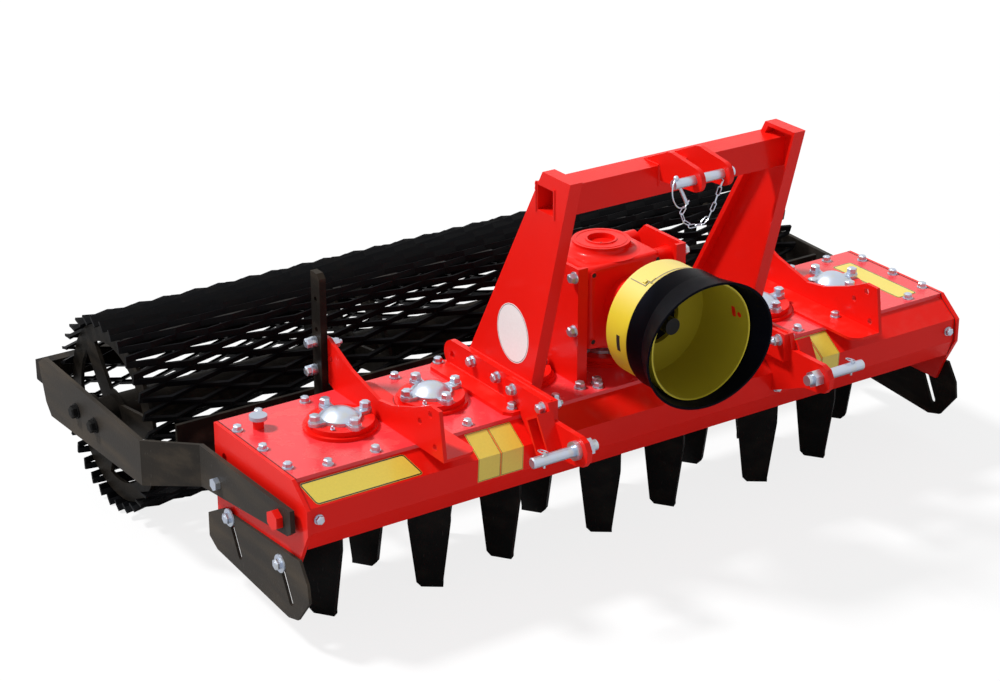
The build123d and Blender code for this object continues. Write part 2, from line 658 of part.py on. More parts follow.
def rotor_carrier(x, angle):
    """Rotor hub with its shaft and the bar that carries both tines."""
    inner = TINE_RADIUS - TINE_THICK / 2
    bar = box(-inner, inner, -CARRIER_WIDTH / 2, CARRIER_WIDTH / 2, CARRIER_TOP - CARRIER_DEPTH, CARRIER_TOP)
    hub = z_rod(HUB_RADIUS, CARRIER_TOP - CARRIER_DEPTH - 8, HUB_TOP, 0, 0)
    shaft = z_rod(SHAFT_RADIUS, HUB_TOP - 1, HUB_TOP + SHAFT_LENGTH, 0, 0)
    return Pos(x, 0, 0) * Rot(0, 0, angle) * (bar + hub + shaft)


def rotor_tines(x, angle):
    """The two tines of a rotor: flat blades across the radius, narrower at the tip."""
    top = TINE_TOP_WIDTH / 2
    tip = TINE_TIP_WIDTH / 2
    outline = [
        (-top, TINE_TOP),
        (-top, TINE_TOP - 60),
        (-tip, TINE_CORNER),
        (-tip + TINE_CORNER, 0),
        (tip, 0),
        (tip, TINE_CORNER),
        (top, TINE_TOP - 60),
        (top, TINE_TOP),
    ]
    blade = yz_plate(outline, TINE_RADIUS - TINE_THICK / 2, TINE_RADIUS + TINE_THICK / 2)
    return [Pos(x, 0, 0) * Rot(0, 0, angle + turn) * blade for turn in (0, 180)]


def roller_arm():
    """Left arm of the roller frame: a plate bent outwards twice behind the end plate."""
    plan = [
        (-ARM_INNER, PIVOT_Y - 60),
        (-ARM_INNER, ARM_JOG_START),
        (-REAR_INNER, ARM_JOG_END),
        (-REAR_INNER, REAR_BAR_BACK),
        (-REAR_OUTER, REAR_BAR_BACK),
        (-REAR_OUTER, ARM_JOG_END - 1.5),
        (-ARM_OUTER, ARM_JOG_START - 1.5),
        (-ARM_OUTER, PIVOT_Y - 60),
    ]
    side = [
        (PIVOT_Y - 45, PIVOT_Z + 33),
        (ARM_JOG_START, PIVOT_Z + 28),
        (ARM_JOG_END, PIVOT_Z + 6),
        (ROLLER_Y + 183, ROLLER_Z + 76),
        (ROLLER_Y + 210, ROLLER_Z + 57),
        (ROLLER_Y + 184, ROLLER_Z - 26),
        (ROLLER_Y + 161, ROLLER_Z - 52),
        (ARM_JOG_END - 5, PIVOT_Z - 93),
        (ARM_JOG_START - 6, PIVOT_Z - 62),
        (PIVOT_Y - 33, PIVOT_Z - 23),
        (PIVOT_Y - 47, PIVOT_Z - 12),
    ]
    arm = xy_plate(plan, 0, PIVOT_Z + ROLLER_Z) & yz_plate(side, -REAR_OUTER - 5, -ARM_INNER + 5)
    arm -= x_rod(PIVOT_RADIUS + RUNNING_GAP, -ARM_OUTER - 1, -ARM_INNER + 1, PIVOT_Y, PIVOT_Z)
    return arm - x_rod(LOCK_RADIUS, -ARM_OUTER - 1, -ARM_INNER + 1, LOCK_Y, LOCK_Z)


def lock_bolt():
    """Left lock bolt through the arm into the end plate's curved slot."""
    shank = x_rod(LOCK_RADIUS, -ARM_OUTER - 1, -END_OUTER + END_THICK - 2, LOCK_Y, LOCK_Z)
    return shank + x_hex(LOCK_RADIUS * 1.7, -ARM_OUTER - 11, -ARM_OUTER, LOCK_Y, LOCK_Z)


def rear_bar():
    """Cross bar behind the roller with a plate at each end, inside the arms."""
    bar = box(-REAR_INNER + 8, REAR_INNER - 8, REAR_BAR_FRONT, REAR_BAR_BACK,
              REAR_BAR_BOTTOM, REAR_BAR_BOTTOM + REAR_BAR_HEIGHT)
    top = REAR_BAR_BOTTOM + REAR_BAR_HEIGHT
    front = ROLLER_Y + 158
    outline = [(front, REAR_BAR_BOTTOM), (front, top), (REAR_BAR_BACK, top), (REAR_BAR_BACK, REAR_BAR_BOTTOM)]
    for side in (-1, 1):
        bar += yz_plate(outline, side * REAR_INNER, side * (REAR_INNER - 8))
    return bar


def roller_bearing():
    """Left bearing of the roller, on the arm's inner face."""
    inner = -REAR_INNER + BEARING_DEPTH
    ring = x_rod(BEARING_RADIUS, -REAR_INNER, inner, ROLLER_Y, ROLLER_Z)
    return ring - x_rod(AXLE_RADIUS + RUNNING_GAP, -REAR_INNER + 4, inner + 1, ROLLER_Y, ROLLER_Z)


def roller_core():
    """Central tube of the roller with a stub axle at each end."""
    end = ROLLER_HALF + 12
    core = x_rod(CORE_RADIUS, -end, end, ROLLER_Y, ROLLER_Z)
    return core + x_rod(AXLE_RADIUS, -REAR_INNER + 6, REAR_INNER - 6, ROLLER_Y, ROLLER_Z)


def disc_radius(x):
    """Radius of a disc at x, seated on the parts of the strands that come furthest in there."""
    places = (x - DISC_THICK / 2, x, x + DISC_THICK / 2)
    swing = max(abs(1 - 2 * ((place + ROLLER_HALF) / CAGE_PITCH % 1)) for place in places)
    return CAGE_MIDDLE - (1 + swing) * STRAND_WIDTH * math.sin(TILT) / 2 - BOND_REACH - SEAT_GAP


def roller_discs():
    """Spoked discs that carry the cage."""
    end = ROLLER_HALF - DISC_INSET
    inner = ROLLER_HALF - DISC_BOND * CAGE_PITCH
    discs = []
    for x in (-end, -inner, inner, end):
        outer = disc_radius(x)
        reach = outer - DISC_RIM / 2
        wheel = Circle(outer) - Circle(outer - DISC_RIM) + Circle(ROLLER_HUB_RADIUS)
        for k in range(SPOKE_COUNT):
            turn = SPOKE_ANGLE + 360 / SPOKE_COUNT * k
            wheel += Rot(0, 0, turn) * Pos(reach / 2, 0) * Rectangle(reach, SPOKE_WIDTH)
        wheel -= Circle(CORE_RADIUS)
        plane = Plane(origin=(x - DISC_THICK / 2, ROLLER_Y, ROLLER_Z), x_dir=(0, 1, 0), z_dir=(1, 0, 0))
        discs.append(extrude(plane * wheel, amount=DISC_THICK))
    return discs


def cage_strand(index):
    """One strand of the cage: a zigzag along the roller, as wide as a bond and tilted to the surface."""
    angle = STRAND_TURN * index
    swing = STRAND_WIDTH * math.tan(TILT) / 2 * (1 if index % 2 == 0 else -1)
    half = STRAND_THICK / 2
    line = [(i * CAGE_PITCH - ROLLER_HALF, swing * (-1) ** i) for i in range(CAGE_HALF_PITCHES + 1)]
    outline = [(x, n + half) for x, n in line] + [(x, n - half) for x, n in reversed(line)]
    full = STRAND_WIDTH + BOND_OVERLAP
    across_y = -math.sin(angle + TILT)
    across_z = math.cos(angle + TILT)
    origin = (0, ROLLER_Y + CAGE_MIDDLE * math.cos(angle) - across_y * full / 2,
              ROLLER_Z + CAGE_MIDDLE * math.sin(angle) - across_z * full / 2)
    plane = Plane(origin=origin, x_dir=(1, 0, 0), z_dir=(0, across_y, across_z))
    return extrude(plane * make_face(Polyline(*outline, close=True)), amount=full)


def roller_cage():
    """Cage of expanded metal: tilted strands joined side by side, every other one in step."""
    strands = [cage_strand(i) for i in range(2 * CAGE_DIAMONDS)]
    return strands[0].fuse(*strands[1:])


def build():
    """All pieces by name, before the move to the shared frame."""
    pieces = {}
    pieces["trough"] = trough()
    pieces["lid"] = lid()
    pair("end_plate", end_plate(), pieces)
    pair("deflector", deflector(), pieces)
    pieces["bearing_flanges"] = bearing_flanges()
    pieces["bearing_caps"] = bearing_caps()
    pieces["filler_plug"] = filler_plug()
    pair("wing_bracket", wing_bracket(), pieces)
    pair("post", post(), pieces)
    pieces["levelling_board"] = levelling_board()
    pair("base_plate", base_plate(), pieces)
    pair("upright", upright(), pieces)
    pieces["cross_tube"] = cross_tube()
    pair("top_link_ear", top_link_ear(), pieces)
    pieces["top_link_pin"] = top_link_pin()
    pair("hitch_lug", hitch_lug(), pieces)
    pair("link_pin", link_pin(), pieces)
    pieces["gearbox"] = gearbox()
    pieces["gearbox_cover"] = gearbox_cover()
    pair("gearbox_side_plate", gearbox_side_plate(), pieces)
    pieces["input_shield"] = input_shield()
    pieces["rubber_collar"] = rubber_collar()
    pieces["input_shaft"] = input_shaft()
    pair("arm_pivot", arm_pivot(), pieces)
    for i, x in enumerate(ROTOR_X):
        angle = REST_ANGLE if i % 2 == 0 else 90 - REST_ANGLE
        pieces[f"rotor_carrier_{i + 1}"] = rotor_carrier(x, angle)
        pieces[f"rotor_tines_{i + 1}"] = rotor_tines(x, angle)
    pair("roller_arm", roller_arm(), pieces)
    pair("lock_bolt", lock_bolt(), pieces)
    pieces["rear_bar"] = rear_bar()
    pair("roller_bearing", roller_bearing(), pieces)
    pieces["roller_core"] = roller_core()
    pieces["roller_discs"] = roller_discs()
    pieces["roller_cage"] = roller_cage()
    return pieces


def main():
    os.makedirs("parts", exist_ok=True)
    for name, shape in build().items():
        solids = shape if isinstance(shape, list) else [shape]
        placed = [Pos(0, SHIFT_Y, 0) * solid for solid in solids]
        whole = placed[0] if len(placed) == 1 else Compound(children=placed)
        whole.label = name
        export_step(whole, f"parts/{name}.step")


if __name__ == "__main__":
    main()
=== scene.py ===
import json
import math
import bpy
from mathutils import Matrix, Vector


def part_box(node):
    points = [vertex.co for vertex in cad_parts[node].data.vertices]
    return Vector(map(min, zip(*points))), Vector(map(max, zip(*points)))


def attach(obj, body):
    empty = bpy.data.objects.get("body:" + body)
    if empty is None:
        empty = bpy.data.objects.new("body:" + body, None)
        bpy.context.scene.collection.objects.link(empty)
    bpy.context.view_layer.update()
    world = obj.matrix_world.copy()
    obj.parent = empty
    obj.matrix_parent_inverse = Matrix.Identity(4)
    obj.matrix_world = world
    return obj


bl_info = {
    "name": "Power Harrow",
    "version": (1, 0, 0),
    "blender": (4, 5, 0),
    "location": "3D View > Sidebar > Harrow",
    "description": "Finishes, fastenings, plates, weld beads and stage for a compact power harrow",
    "category": "Object",
}

import bmesh
import bpy
from bpy.props import FloatProperty, FloatVectorProperty, PointerProperty
from bpy.types import Operator, Panel, PropertyGroup
from mathutils import Matrix, Vector

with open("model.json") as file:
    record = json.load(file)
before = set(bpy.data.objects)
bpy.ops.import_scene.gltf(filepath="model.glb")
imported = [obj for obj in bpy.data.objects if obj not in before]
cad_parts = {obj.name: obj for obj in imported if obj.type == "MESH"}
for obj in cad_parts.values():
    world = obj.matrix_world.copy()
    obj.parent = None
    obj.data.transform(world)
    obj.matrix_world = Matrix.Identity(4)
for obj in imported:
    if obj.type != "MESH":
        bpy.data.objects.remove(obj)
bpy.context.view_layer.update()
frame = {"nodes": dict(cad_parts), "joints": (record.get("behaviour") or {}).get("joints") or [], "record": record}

MM = 0.001
JOINTS = {joint["name"]: joint for joint in frame["joints"]}
SUBPARTS = frame["record"]["subparts"]
ROTOR_COUNT = sum(name.startswith("rotor_spin_") for name in JOINTS)
ROTOR_LINE = JOINTS["rotor_spin_1"]["pos_m"][1]
ROTOR_X = [JOINTS[f"rotor_spin_{i + 1}"]["pos_m"][0] / MM for i in range(ROTOR_COUNT)]
MIDDLE_ROTOR = ROTOR_COUNT // 2
SMOOTH_ANGLE = math.radians(38)


def face_of(node, axis, side):
    """One face of a node's box in millimetres, with Y measured from the rotor line."""
    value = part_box(node)[side]["xyz".index(axis)]
    return (value - (ROTOR_LINE if axis == "y" else 0)) / MM


def at(x, y, z):
    """A point of the shared frame, from millimetres across, behind the rotor line and above the floor."""
    return Vector((x * MM, y * MM + ROTOR_LINE, z * MM))


# Faces of the CAD in millimetres; those across belong to the right side
LID_TOP = face_of("lid", "z", 1)
LID_EDGE = face_of("lid", "z", 0)
LID_FRONT = face_of("lid", "y", 0)
TROUGH_FRONT = face_of("trough", "y", 0)
TROUGH_END = face_of("trough", "x", 1)
CAP_BASE = face_of("bearing_flanges", "z", 1)
BASE_INNER = face_of("base_plate_right", "x", 0)
BASE_FACE = face_of("hitch_lug_right", "x", 0)
LUG_FACE = BASE_FACE * 2 - BASE_INNER
DEFLECTOR_FACE = face_of("deflector_right", "x", 1)
POST_FACE = face_of("post_right", "x", 1)
WING_FACE = face_of("post_right", "x", 0)
ARM_FACE = face_of("roller_arm_right", "x", 1)
SIDE_PLATE_FACE = face_of("gearbox_side_plate_right", "x", 1)
NECK_FACE = face_of("gearbox", "y", 0)
SHIELD_RADIUS = face_of("input_shield", "x", 1)
SHIELD_Z = JOINTS["input_spin"]["pos_m"][2] / MM

# Measures of the CAD in millimetres that its nodes' boxes don't give
SLOPE_FOOT = 312.0
CHIN_TOP = 259.0
CHIN_SET_BACK = 15.0
GEARBOX_FRONT = -78.0
COVER_Y = 8.0
DISH_DEPTH = 9.0
PLUG_NECK = 20.0
CAP_ARM_REACH = 57.0
CAP_ARM_HEIGHT = 7.0
BASE_FOOT = 8.0
WING_FOOT = 6.0
WING_THICK = 8.0
EAR_THICK = 10.0
SHIELD_WALL = 4.0
TOP_PIN_HEAD = 13.5
COLLAR_RADIUS = 19.0

UP = (0, 0, 1)
TOWARDS_TRACTOR = (0, -1, 0)


# Sizes and colours that a user would change, in the sidebar

def size_property(name, description, millimetres):
    """A length in the sidebar."""
    return FloatProperty(name=name, description=description, default=millimetres * MM, unit="LENGTH")


def colour_property(name, description, default):
    """A colour in the sidebar."""
    return FloatVectorProperty(
        name=name, description=description, subtype="COLOR", default=default, min=0, max=1)


class HarrowSizes(PropertyGroup):
    """Sizes of the pieces that this script adds."""

    lid_screw: size_property("Lid screw", "Width across the flats of the lid's screws", 16.0)
    cap_screw: size_property("Cap screw", "Width across the flats of the bearing caps' screws", 19.0)
    plate_screw: size_property(
        "Plate screw", "Width across the flats of the headstock's and gearbox's screws", 18.0)
    bead: size_property("Weld bead", "Radius of the weld beads", 3.2)
    clip_wire: size_property(
        "Clip wire", "Thickness of the top pin's clip; its chain is thinner in proportion", 2.6)


class HarrowColours(PropertyGroup):
    """Colours of the finishes."""

    red: colour_property("Red", "Paint of the casing and the headstock", (0.88, 0.011, 0.006))
    # the lid's colour is pinker than the red, a painted reflection of the pale sky on the glossy lid
    lid: colour_property(
        "Lid", "Paint of the lid, which is paler in the light from above", (0.86, 0.040, 0.050))
    black: colour_property(
        "Black", "Paint of the roller's discs and frame, the posts, the board and the deflectors",
        (0.010, 0.0085, 0.007))
    tine: colour_property("Tines", "Paint of the tines", (0.012, 0.012, 0.012))
    zinc: colour_property("Zinc", "Plating of the screws, the caps and the pins", (0.54, 0.60, 0.71))
    steel: colour_property("Steel", "Dark greased steel of the input shaft", (0.020, 0.020, 0.022))
    guard: colour_property("Guard", "Plastic of the shaft guard", (0.76, 0.62, 0.035))
    rubber: colour_property("Rubber", "Rubber of the guard's collar", (0.0022, 0.0022, 0.0032))
    plate: colour_property("Plate", "Ground of the yellow plates", (0.80, 0.64, 0.08))
    border: colour_property("Plate border", "Line round the plates", (0.015, 0.014, 0.012))
    badge: colour_property("Badge", "Ground of the oval plate", (0.95, 0.95, 0.94))


# Dust and scuffs on the paint, where the pale dust on red is also a painted sheen of the sky; the cage's own
# black; and painted shade inside holes
DUST_AND_SHEEN_ON_RED = (0.62, 0.20, 0.16)
DUST_ON_BLACK = (0.085, 0.066, 0.047)
SCUFFED = (0.15, 0.14, 0.13)
CAGE_BLACK = (0.0045, 0.0048, 0.0058)
SHADOW = (0.006, 0.004, 0.004)
SHADED_RED = (0.05, 0.006, 0.004)


# Shader values and finishes

class Value:
    """One socket of a finish. An expression on values adds its Math nodes."""

    def __init__(self, finish, socket):
        self.finish = finish
        self.socket = socket

    def math(self, operation, first, second):
        return self.finish.node("ShaderNodeMath", {"operation": operation}, {0: first, 1: second})

    def __add__(self, other):
        return self.math("ADD", self, other)

    def __radd__(self, other):
        return self.math("ADD", other, self)

    def __sub__(self, other):
        return self.math("SUBTRACT", self, other)

    def __mul__(self, other):
        return self.math("MULTIPLY", self, other)


class Finish:
    """A material or world while its nodes are being made."""

    def __init__(self, tree):
        self.tree = tree
        tree.nodes.clear()

    def node(self, kind, settings=None, sockets=None, out=0):
        """Adds a node, gives its settings first, then the values or links of its sockets."""
        made = self.tree.nodes.new(kind)
        for key, value in (settings or {}).items():
            setattr(made, key, value)
        for key, value in (sockets or {}).items():
            if isinstance(value, Value):
                self.tree.links.new(value.socket, made.inputs[key])
            else:
                made.inputs[key].default_value = value
        return Value(self, made.outputs[out]) if made.outputs else None

    def place(self):
        """The piece's own coordinates."""
        return self.node("ShaderNodeTexCoord", out="Object")

    def noise(self, scale, detail=2.0, stretch=None):
        """Noise on the piece's own coordinates, finer as scale grows."""
        vector = self.place()
        if stretch:
            vector = self.node("ShaderNodeMapping", {}, {"Vector": vector, "Scale": stretch})
        return self.node("ShaderNodeTexNoise", {}, {"Vector": vector, "Scale": scale, "Detail": detail})

    def from_shaft(self):
        """Distance from the input shaft's axis."""
        axis = (0, 0, SHIELD_Z * MM)
        across = self.node("ShaderNodeVectorMath", {"operation": "SUBTRACT"}, {0: self.place(), 1: axis})
        across = self.node("ShaderNodeVectorMath", {"operation": "MULTIPLY"}, {0: across, 1: (1, 0, 1)})
        return self.node("ShaderNodeVectorMath", {"operation": "LENGTH"}, {0: across}, out="Value")

    def mask(self, value, low, high):
        """0 below low, 1 above high, smooth between."""
        return self.node(
            "ShaderNodeMapRange", {"interpolation_type": "SMOOTHSTEP"},
            {"Value": value, "From Min": low, "From Max": high, "To Min": 0.0, "To Max": 1.0})

    def mix(self, factor, first, second):
        """A colour between two colours."""
        first = first if isinstance(first, Value) else (*first, 1.0)
        second = second if isinstance(second, Value) else (*second, 1.0)
        return self.node("ShaderNodeMix", {"data_type": "RGBA"}, {0: factor, 6: first, 7: second}, out=2)

    def upward(self):
        """1 on faces that look up, 0 on upright ones."""
        normal = self.node("ShaderNodeNewGeometry", out="Normal")
        return self.mask(self.node("ShaderNodeSeparateXYZ", {}, {0: normal}, out=2), 0.3, 1.0)

    def bump(self, height, depth):
        """Normal from a height, whose full range is depth in metres."""
        return self.node("ShaderNodeBump", {}, {"Height": height, "Distance": depth})

    def surface(self, sockets):
        """Principled shader into the material's output."""
        shader = self.node("ShaderNodeBsdfPrincipled", {}, sockets)
        self.node("ShaderNodeOutputMaterial", {}, {"Surface": shader})


def new_finish(name):
    """A material with an empty tree, and its Finish."""
    material = bpy.data.materials.new(name)
    material.use_nodes = True
    return material, Finish(material.node_tree)


def shade(colour, factor):
    """A darker or lighter copy of a colour."""
    return tuple(min(1.0, c * factor) for c in colour)


def gloss_paint(name, colour, roughness, coat, dust, sheen):
    """Sprayed gloss paint: orange peel, slight unevenness, and a breath of dust on top faces that also paints a
    pale sheen of the sky.
    """
    material, finish = new_finish(name)
    wide = finish.noise(4.0, 3.0)
    peel = finish.noise(330.0, 1.0)
    specks = finish.mask(finish.noise(24.0, 5.0), 0.46, 0.80)
    tone = finish.mix(wide, shade(colour, 0.86), shade(colour, 1.06))
    # the pale dust on top faces is partly dust and partly a painted sheen of the sky
    dust_and_sheen = finish.upward() * specks * dust
    tone = finish.mix(dust_and_sheen, tone, DUST_AND_SHEEN_ON_RED)
    finish.surface({
        "Base Color": tone,
        "Roughness": roughness + (wide - 0.5) * 0.10 + dust_and_sheen * 0.5,
        "Normal": finish.bump(peel, 0.00022),
        "Specular IOR Level": sheen,
        "Coat Weight": coat,
        "Coat Roughness": 0.06,
    })
    return material


def worn_black(name, colour, roughness, dust, scuff, sheen=0.05):
    """Black paint on rough plate: brownish dust in lengthwise streaks, scuffs and a grainy skin."""
    material, finish = new_finish(name)
    wide = finish.noise(9.0, 4.0)
    grain = finish.noise(260.0, 3.0)
    cloud = finish.mask(finish.noise(26.0, 5.0, (1.0, 0.16, 1.0)), 0.42, 0.78)
    scratch = finish.mask(finish.noise(46.0, 2.0, (1.0, 9.0, 1.4)), 0.68, 0.74)
    tone = finish.mix(wide, shade(colour, 0.7), shade(colour, 1.35))
    tone = finish.mix(cloud * dust, tone, DUST_ON_BLACK)
    tone = finish.mix(scratch * scuff, tone, SCUFFED)
    finish.surface({
        "Base Color": tone,
        "Roughness": roughness + (wide - 0.5) * 0.16 + cloud * 0.10,
        "Normal": finish.bump(grain, 0.00035),
        "Specular IOR Level": sheen,
    })
    return material


def plated(name, colour, roughness):
    """Bright zinc with faint yellow and blue patches and fine handling marks."""
    material, finish = new_finish(name)
    patches = finish.noise(60.0, 3.0)
    marks = finish.noise(500.0, 2.0, (1.0, 1.0, 0.15))
    warm = (colour[0] * 1.04, colour[1] * 0.99, colour[2] * 0.86)
    finish.surface({
        "Base Color": finish.mix(finish.mask(patches, 0.45, 0.7), colour, warm),
        "Metallic": 0.86,
        "Roughness": roughness + (marks - 0.5) * 0.14 + (patches - 0.5) * 0.10,
        "Normal": finish.bump(marks, 0.00008),
    })
    return material


def dipped(name, paint, metal, level):
    """Paint up to a level in millimetres, and dull metal over it."""
    material, finish = new_finish(name)
    height = finish.node("ShaderNodeSeparateXYZ", {}, {0: finish.place()}, out=2)
    bare = finish.mask(height, (level - 0.4) * MM, (level + 0.4) * MM)
    wear = finish.noise(140.0, 3.0)
    finish.surface({
        "Base Color": finish.mix(bare, paint, shade(metal, 0.8)),
        "Metallic": bare * 0.5,
        "Roughness": 0.34 + wear * 0.16,
        "Normal": finish.bump(wear, 0.00010),
        "Specular IOR Level": 0.25,
    })
    return material


def moulded(name, colour):
    """Moulded plastic with a fine grain, painted light on the top faces and painted shade on the inside of the
    drum.
    """
    material, finish = new_finish(name)
    grain = finish.noise(650.0, 2.0)
    flow = finish.noise(7.0, 2.0, (1.0, 0.35, 1.0))
    outside = finish.mask(finish.from_shaft(), (SHIELD_RADIUS - 3.2) * MM, (SHIELD_RADIUS - 1.2) * MM)
    # painted shade: the inside of the drum is darker, as shade falls there
    painted_inside_shade = finish.mix(flow, shade(colour, 0.54), shade(colour, 0.64))
    tone = finish.mix(outside, painted_inside_shade, finish.mix(flow, shade(colour, 0.90), shade(colour, 1.08)))
    # painted light: the outside's top faces are paler, as the light falls from above
    painted_top_light = tuple(c + (1.0 - c) * 0.28 for c in shade(colour, 1.10))
    tone = finish.mix(finish.upward() * outside * 0.6, tone, painted_top_light)
    finish.surface({
        "Base Color": finish.mix(finish.mask(grain, 0.60, 0.78) * 0.20, tone, shade(colour, 0.5)),
        "Roughness": 0.42 + (flow - 0.5) * 0.12,
        "Normal": finish.bump(grain, 0.00030),
        "Specular IOR Level": 0.30,
    })
    return material


def rubber(name, colour):
    """Soft black rubber with a dull bloom and fine pores."""
    material, finish = new_finish(name)
    pores = finish.noise(420.0, 3.0)
    bloom = finish.mask(finish.noise(12.0, 4.0), 0.40, 0.75)
    finish.surface({
        "Base Color": finish.mix(bloom * 0.5, colour, shade(colour, 2.4)),
        "Roughness": 0.36 + bloom * 0.14,
        "Normal": finish.bump(pores, 0.00025),
        "Specular IOR Level": 0.035,
        "Specular Tint": (0.35, 0.45, 1.0, 1.0),
    })
    return material


def printed(name, colour, roughness):
    """Printed foil: flat ink with a slight ripple and a clear skin."""
    material, finish = new_finish(name)
    ripple = finish.noise(22.0, 2.0)
    ink = finish.noise(240.0, 2.0)
    finish.surface({
        "Base Color": finish.mix(ink, shade(colour, 0.93), shade(colour, 1.05)),
        "Roughness": roughness + (ripple - 0.5) * 0.10,
        "Normal": finish.bump(ripple, 0.00030),
        "Coat Weight": 0.3,
        "Coat Roughness": 0.12,
    })
    return material


def recess(name):
    """Shadowed inside of a hole, with traces of paint."""
    material, finish = new_finish(name)
    traces = finish.mask(finish.noise(180.0, 3.0), 0.5, 0.8)
    finish.surface({
        "Base Color": finish.mix(traces * 0.5, SHADOW, SHADED_RED),
        "Roughness": 0.7 + traces * 0.1,
    })
    return material


def make_finishes(colours):
    """Every finish by its short name."""
    return {
        "red_paint": gloss_paint(
            "red_gloss_paint", colours.red, roughness=0.30, coat=0.08, dust=0.12, sheen=0.10),
        # pinker colour and more dust on the lid: a painted reflection of the sky
        "lid_sky_reflection_paint": gloss_paint(
            "red_lid_sky_reflection_paint", colours.lid, roughness=0.24, coat=0.20, dust=0.20, sheen=0.30),
        "plug_paint": dipped("filler_plug_paint", colours.red, colours.zinc, LID_TOP + PLUG_NECK),
        "black_paint": worn_black(
            "black_plate_paint", colours.black, roughness=0.44, dust=0.30, scuff=0.16),
        "dusty_black": worn_black(
            "dusty_black_paint", shade(colours.black, 2.9),
            roughness=0.50, dust=0.60, scuff=0.26, sheen=0.12),
        "mesh_paint": worn_black("black_mesh_paint", CAGE_BLACK, roughness=0.42, dust=0.05, scuff=0.06),
        "tine_paint": worn_black(
            "black_tine_paint", shade(colours.tine, 0.7), roughness=0.44, dust=0.12, scuff=0.10),
        "zinc_plate": plated("zinc_plating", colours.zinc, roughness=0.33),
        "bright_steel": plated("greased_steel", colours.steel, roughness=0.42),
        "yellow_plastic": moulded("guard_plastic", colours.guard),
        "guard_seam": moulded("guard_seam_shadow", shade(colours.guard, 0.22)),
        "black_rubber": rubber("collar_rubber", colours.rubber),
        "plate_ground": printed("plate_yellow", colours.plate, roughness=0.34),
        "plate_border": printed("plate_border_ink", colours.border, roughness=0.36),
        "badge_ground": printed("badge_white", colours.badge, roughness=0.30),
        "recess": recess("recess_shadow"),
    }


FINISHES = {}

# Nodes whose finish isn't that of their material slot
OWN_FINISH = {
    "lid": "lid_sky_reflection_paint",
    "filler_plug": "plug_paint",
    "roller_cage": "mesh_paint",
    # the right deflector keeps the darker black of its slot, as painted shade for the casing's shadow on it
    "deflector_left": "dusty_black",
    "roller_arm_left": "dusty_black",
    "roller_arm_right": "dusty_black",
}


def finish_named(name):
    """A finish that the finishes operator has made."""
    if name not in FINISHES:
        raise RuntimeError(f"there is no finish named {name}; run the finishes operator first")
    return FINISHES[name]


# Modelling helpers

def placed(point, axis, turn=0.0):
    """Matrix that puts a part's own Z along an axis at a point, turned about it."""
    track = Vector(axis).to_track_quat("Z", "Y").to_matrix().to_4x4()
    return Matrix.Translation(point) @ track @ Matrix.Rotation(turn, 4, "Z")


def add_piece(name, bm, finishes, body):
    """Turns a bmesh into a finished object in its place, riding on a body."""
    bmesh.ops.recalc_face_normals(bm, faces=bm.faces)
    mesh = bpy.data.meshes.new(name)
    bm.to_mesh(mesh)
    bm.free()
    mesh.shade_smooth()
    mesh.set_sharp_from_angle(angle=SMOOTH_ANGLE)
    for finish in finishes:
        mesh.materials.append(finish_named(finish))
    piece = bpy.data.objects.new(name, mesh)
    bpy.context.scene.collection.objects.link(piece)
    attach(piece, body)


def stamp(bm, part, place):
    """Adds a copy of a part's mesh to a bmesh, from which nothing is deleted before the last stamp."""
    start = len(bm.verts)
    bm.from_mesh(part)
    bm.verts.ensure_lookup_table()
    bmesh.ops.transform(bm, matrix=place, verts=bm.verts[start:])


def part_mesh(bm):
    """A part for stamp from a bmesh."""
    mesh = bpy.data.meshes.new("part")
    bm.to_mesh(mesh)
    bm.free()
    return mesh


def add_disc(bm, radius, top_radius, low, high, segments=24):
    """Round disc or cone frustum on Z between two heights."""
    lifted = Matrix.Translation((0, 0, (low + high) / 2))
    return bmesh.ops.create_cone(
        bm, cap_ends=True, segments=segments, radius1=radius, radius2=top_radius, depth=high - low,
        matrix=lifted)["verts"]


def add_turned(bm, place, profile):
    """Closed ring turned about a place's own Z, from its section's radii and heights in millimetres."""
    verts = [bm.verts.new(place @ Vector((radius * MM, 0, height * MM))) for radius, height in profile]
    edges = [bm.edges.new(ends) for ends in zip(verts, verts[1:] + verts[:1])]
    bmesh.ops.spin(
        bm, geom=verts + edges, cent=place.translation, axis=place.to_3x3() @ Vector(UP),
        angle=2 * math.pi, steps=48, use_merge=True)


def add_strip(bm, start, end, outward, width, height):
    """Straight strip on a surface, from one point to another."""
    along = end - start
    across = outward.cross(along).normalized()
    turn = Matrix((across, along.normalized(), outward)).transposed().to_4x4()
    middle = (start + end) / 2 + outward * height / 2
    size = Matrix.Diagonal((width, along.length, height, 1.0))
    bmesh.ops.create_cube(bm, size=1.0, matrix=Matrix.Translation(middle) @ turn @ size)


def from_axis(angle):
    """Direction away from the input shaft, at an angle in degrees from +X."""
    turn = math.radians(angle)
    return Vector((math.cos(turn), 0, math.sin(turn)))


def screw_part(across, head=0.62, washer=0.70, stud=0.0, sleeve=0.0):
    """Hex screw head on a round washer or sleeve; sizes are shares of the width across the flats."""
    bm = bmesh.new()
    rim = across * washer
    seat = across * (0.14 + sleeve)
    add_disc(bm, rim, rim * 0.97, 0.0, seat)
    corner = across / math.sqrt(3)
    top = seat + across * head
    verts = add_disc(bm, corner, corner, seat * 0.8, top, 6)
    crown = [e for e in bm.edges if all(v in verts and v.co.z > top - across * 0.01 for v in e.verts)]
    bmesh.ops.bevel(
        bm, geom=crown, offset=across * 0.09, segments=1, profile=0.5, affect="EDGES", material=-1)
    add_disc(bm, across * 0.36, across * 0.33, top - across * 0.01, top + across * 0.025, 18)
    if stud:
        add_disc(bm, across * 0.30, across * 0.25, top, top + across * stud, 14)
    return part_mesh(bm)


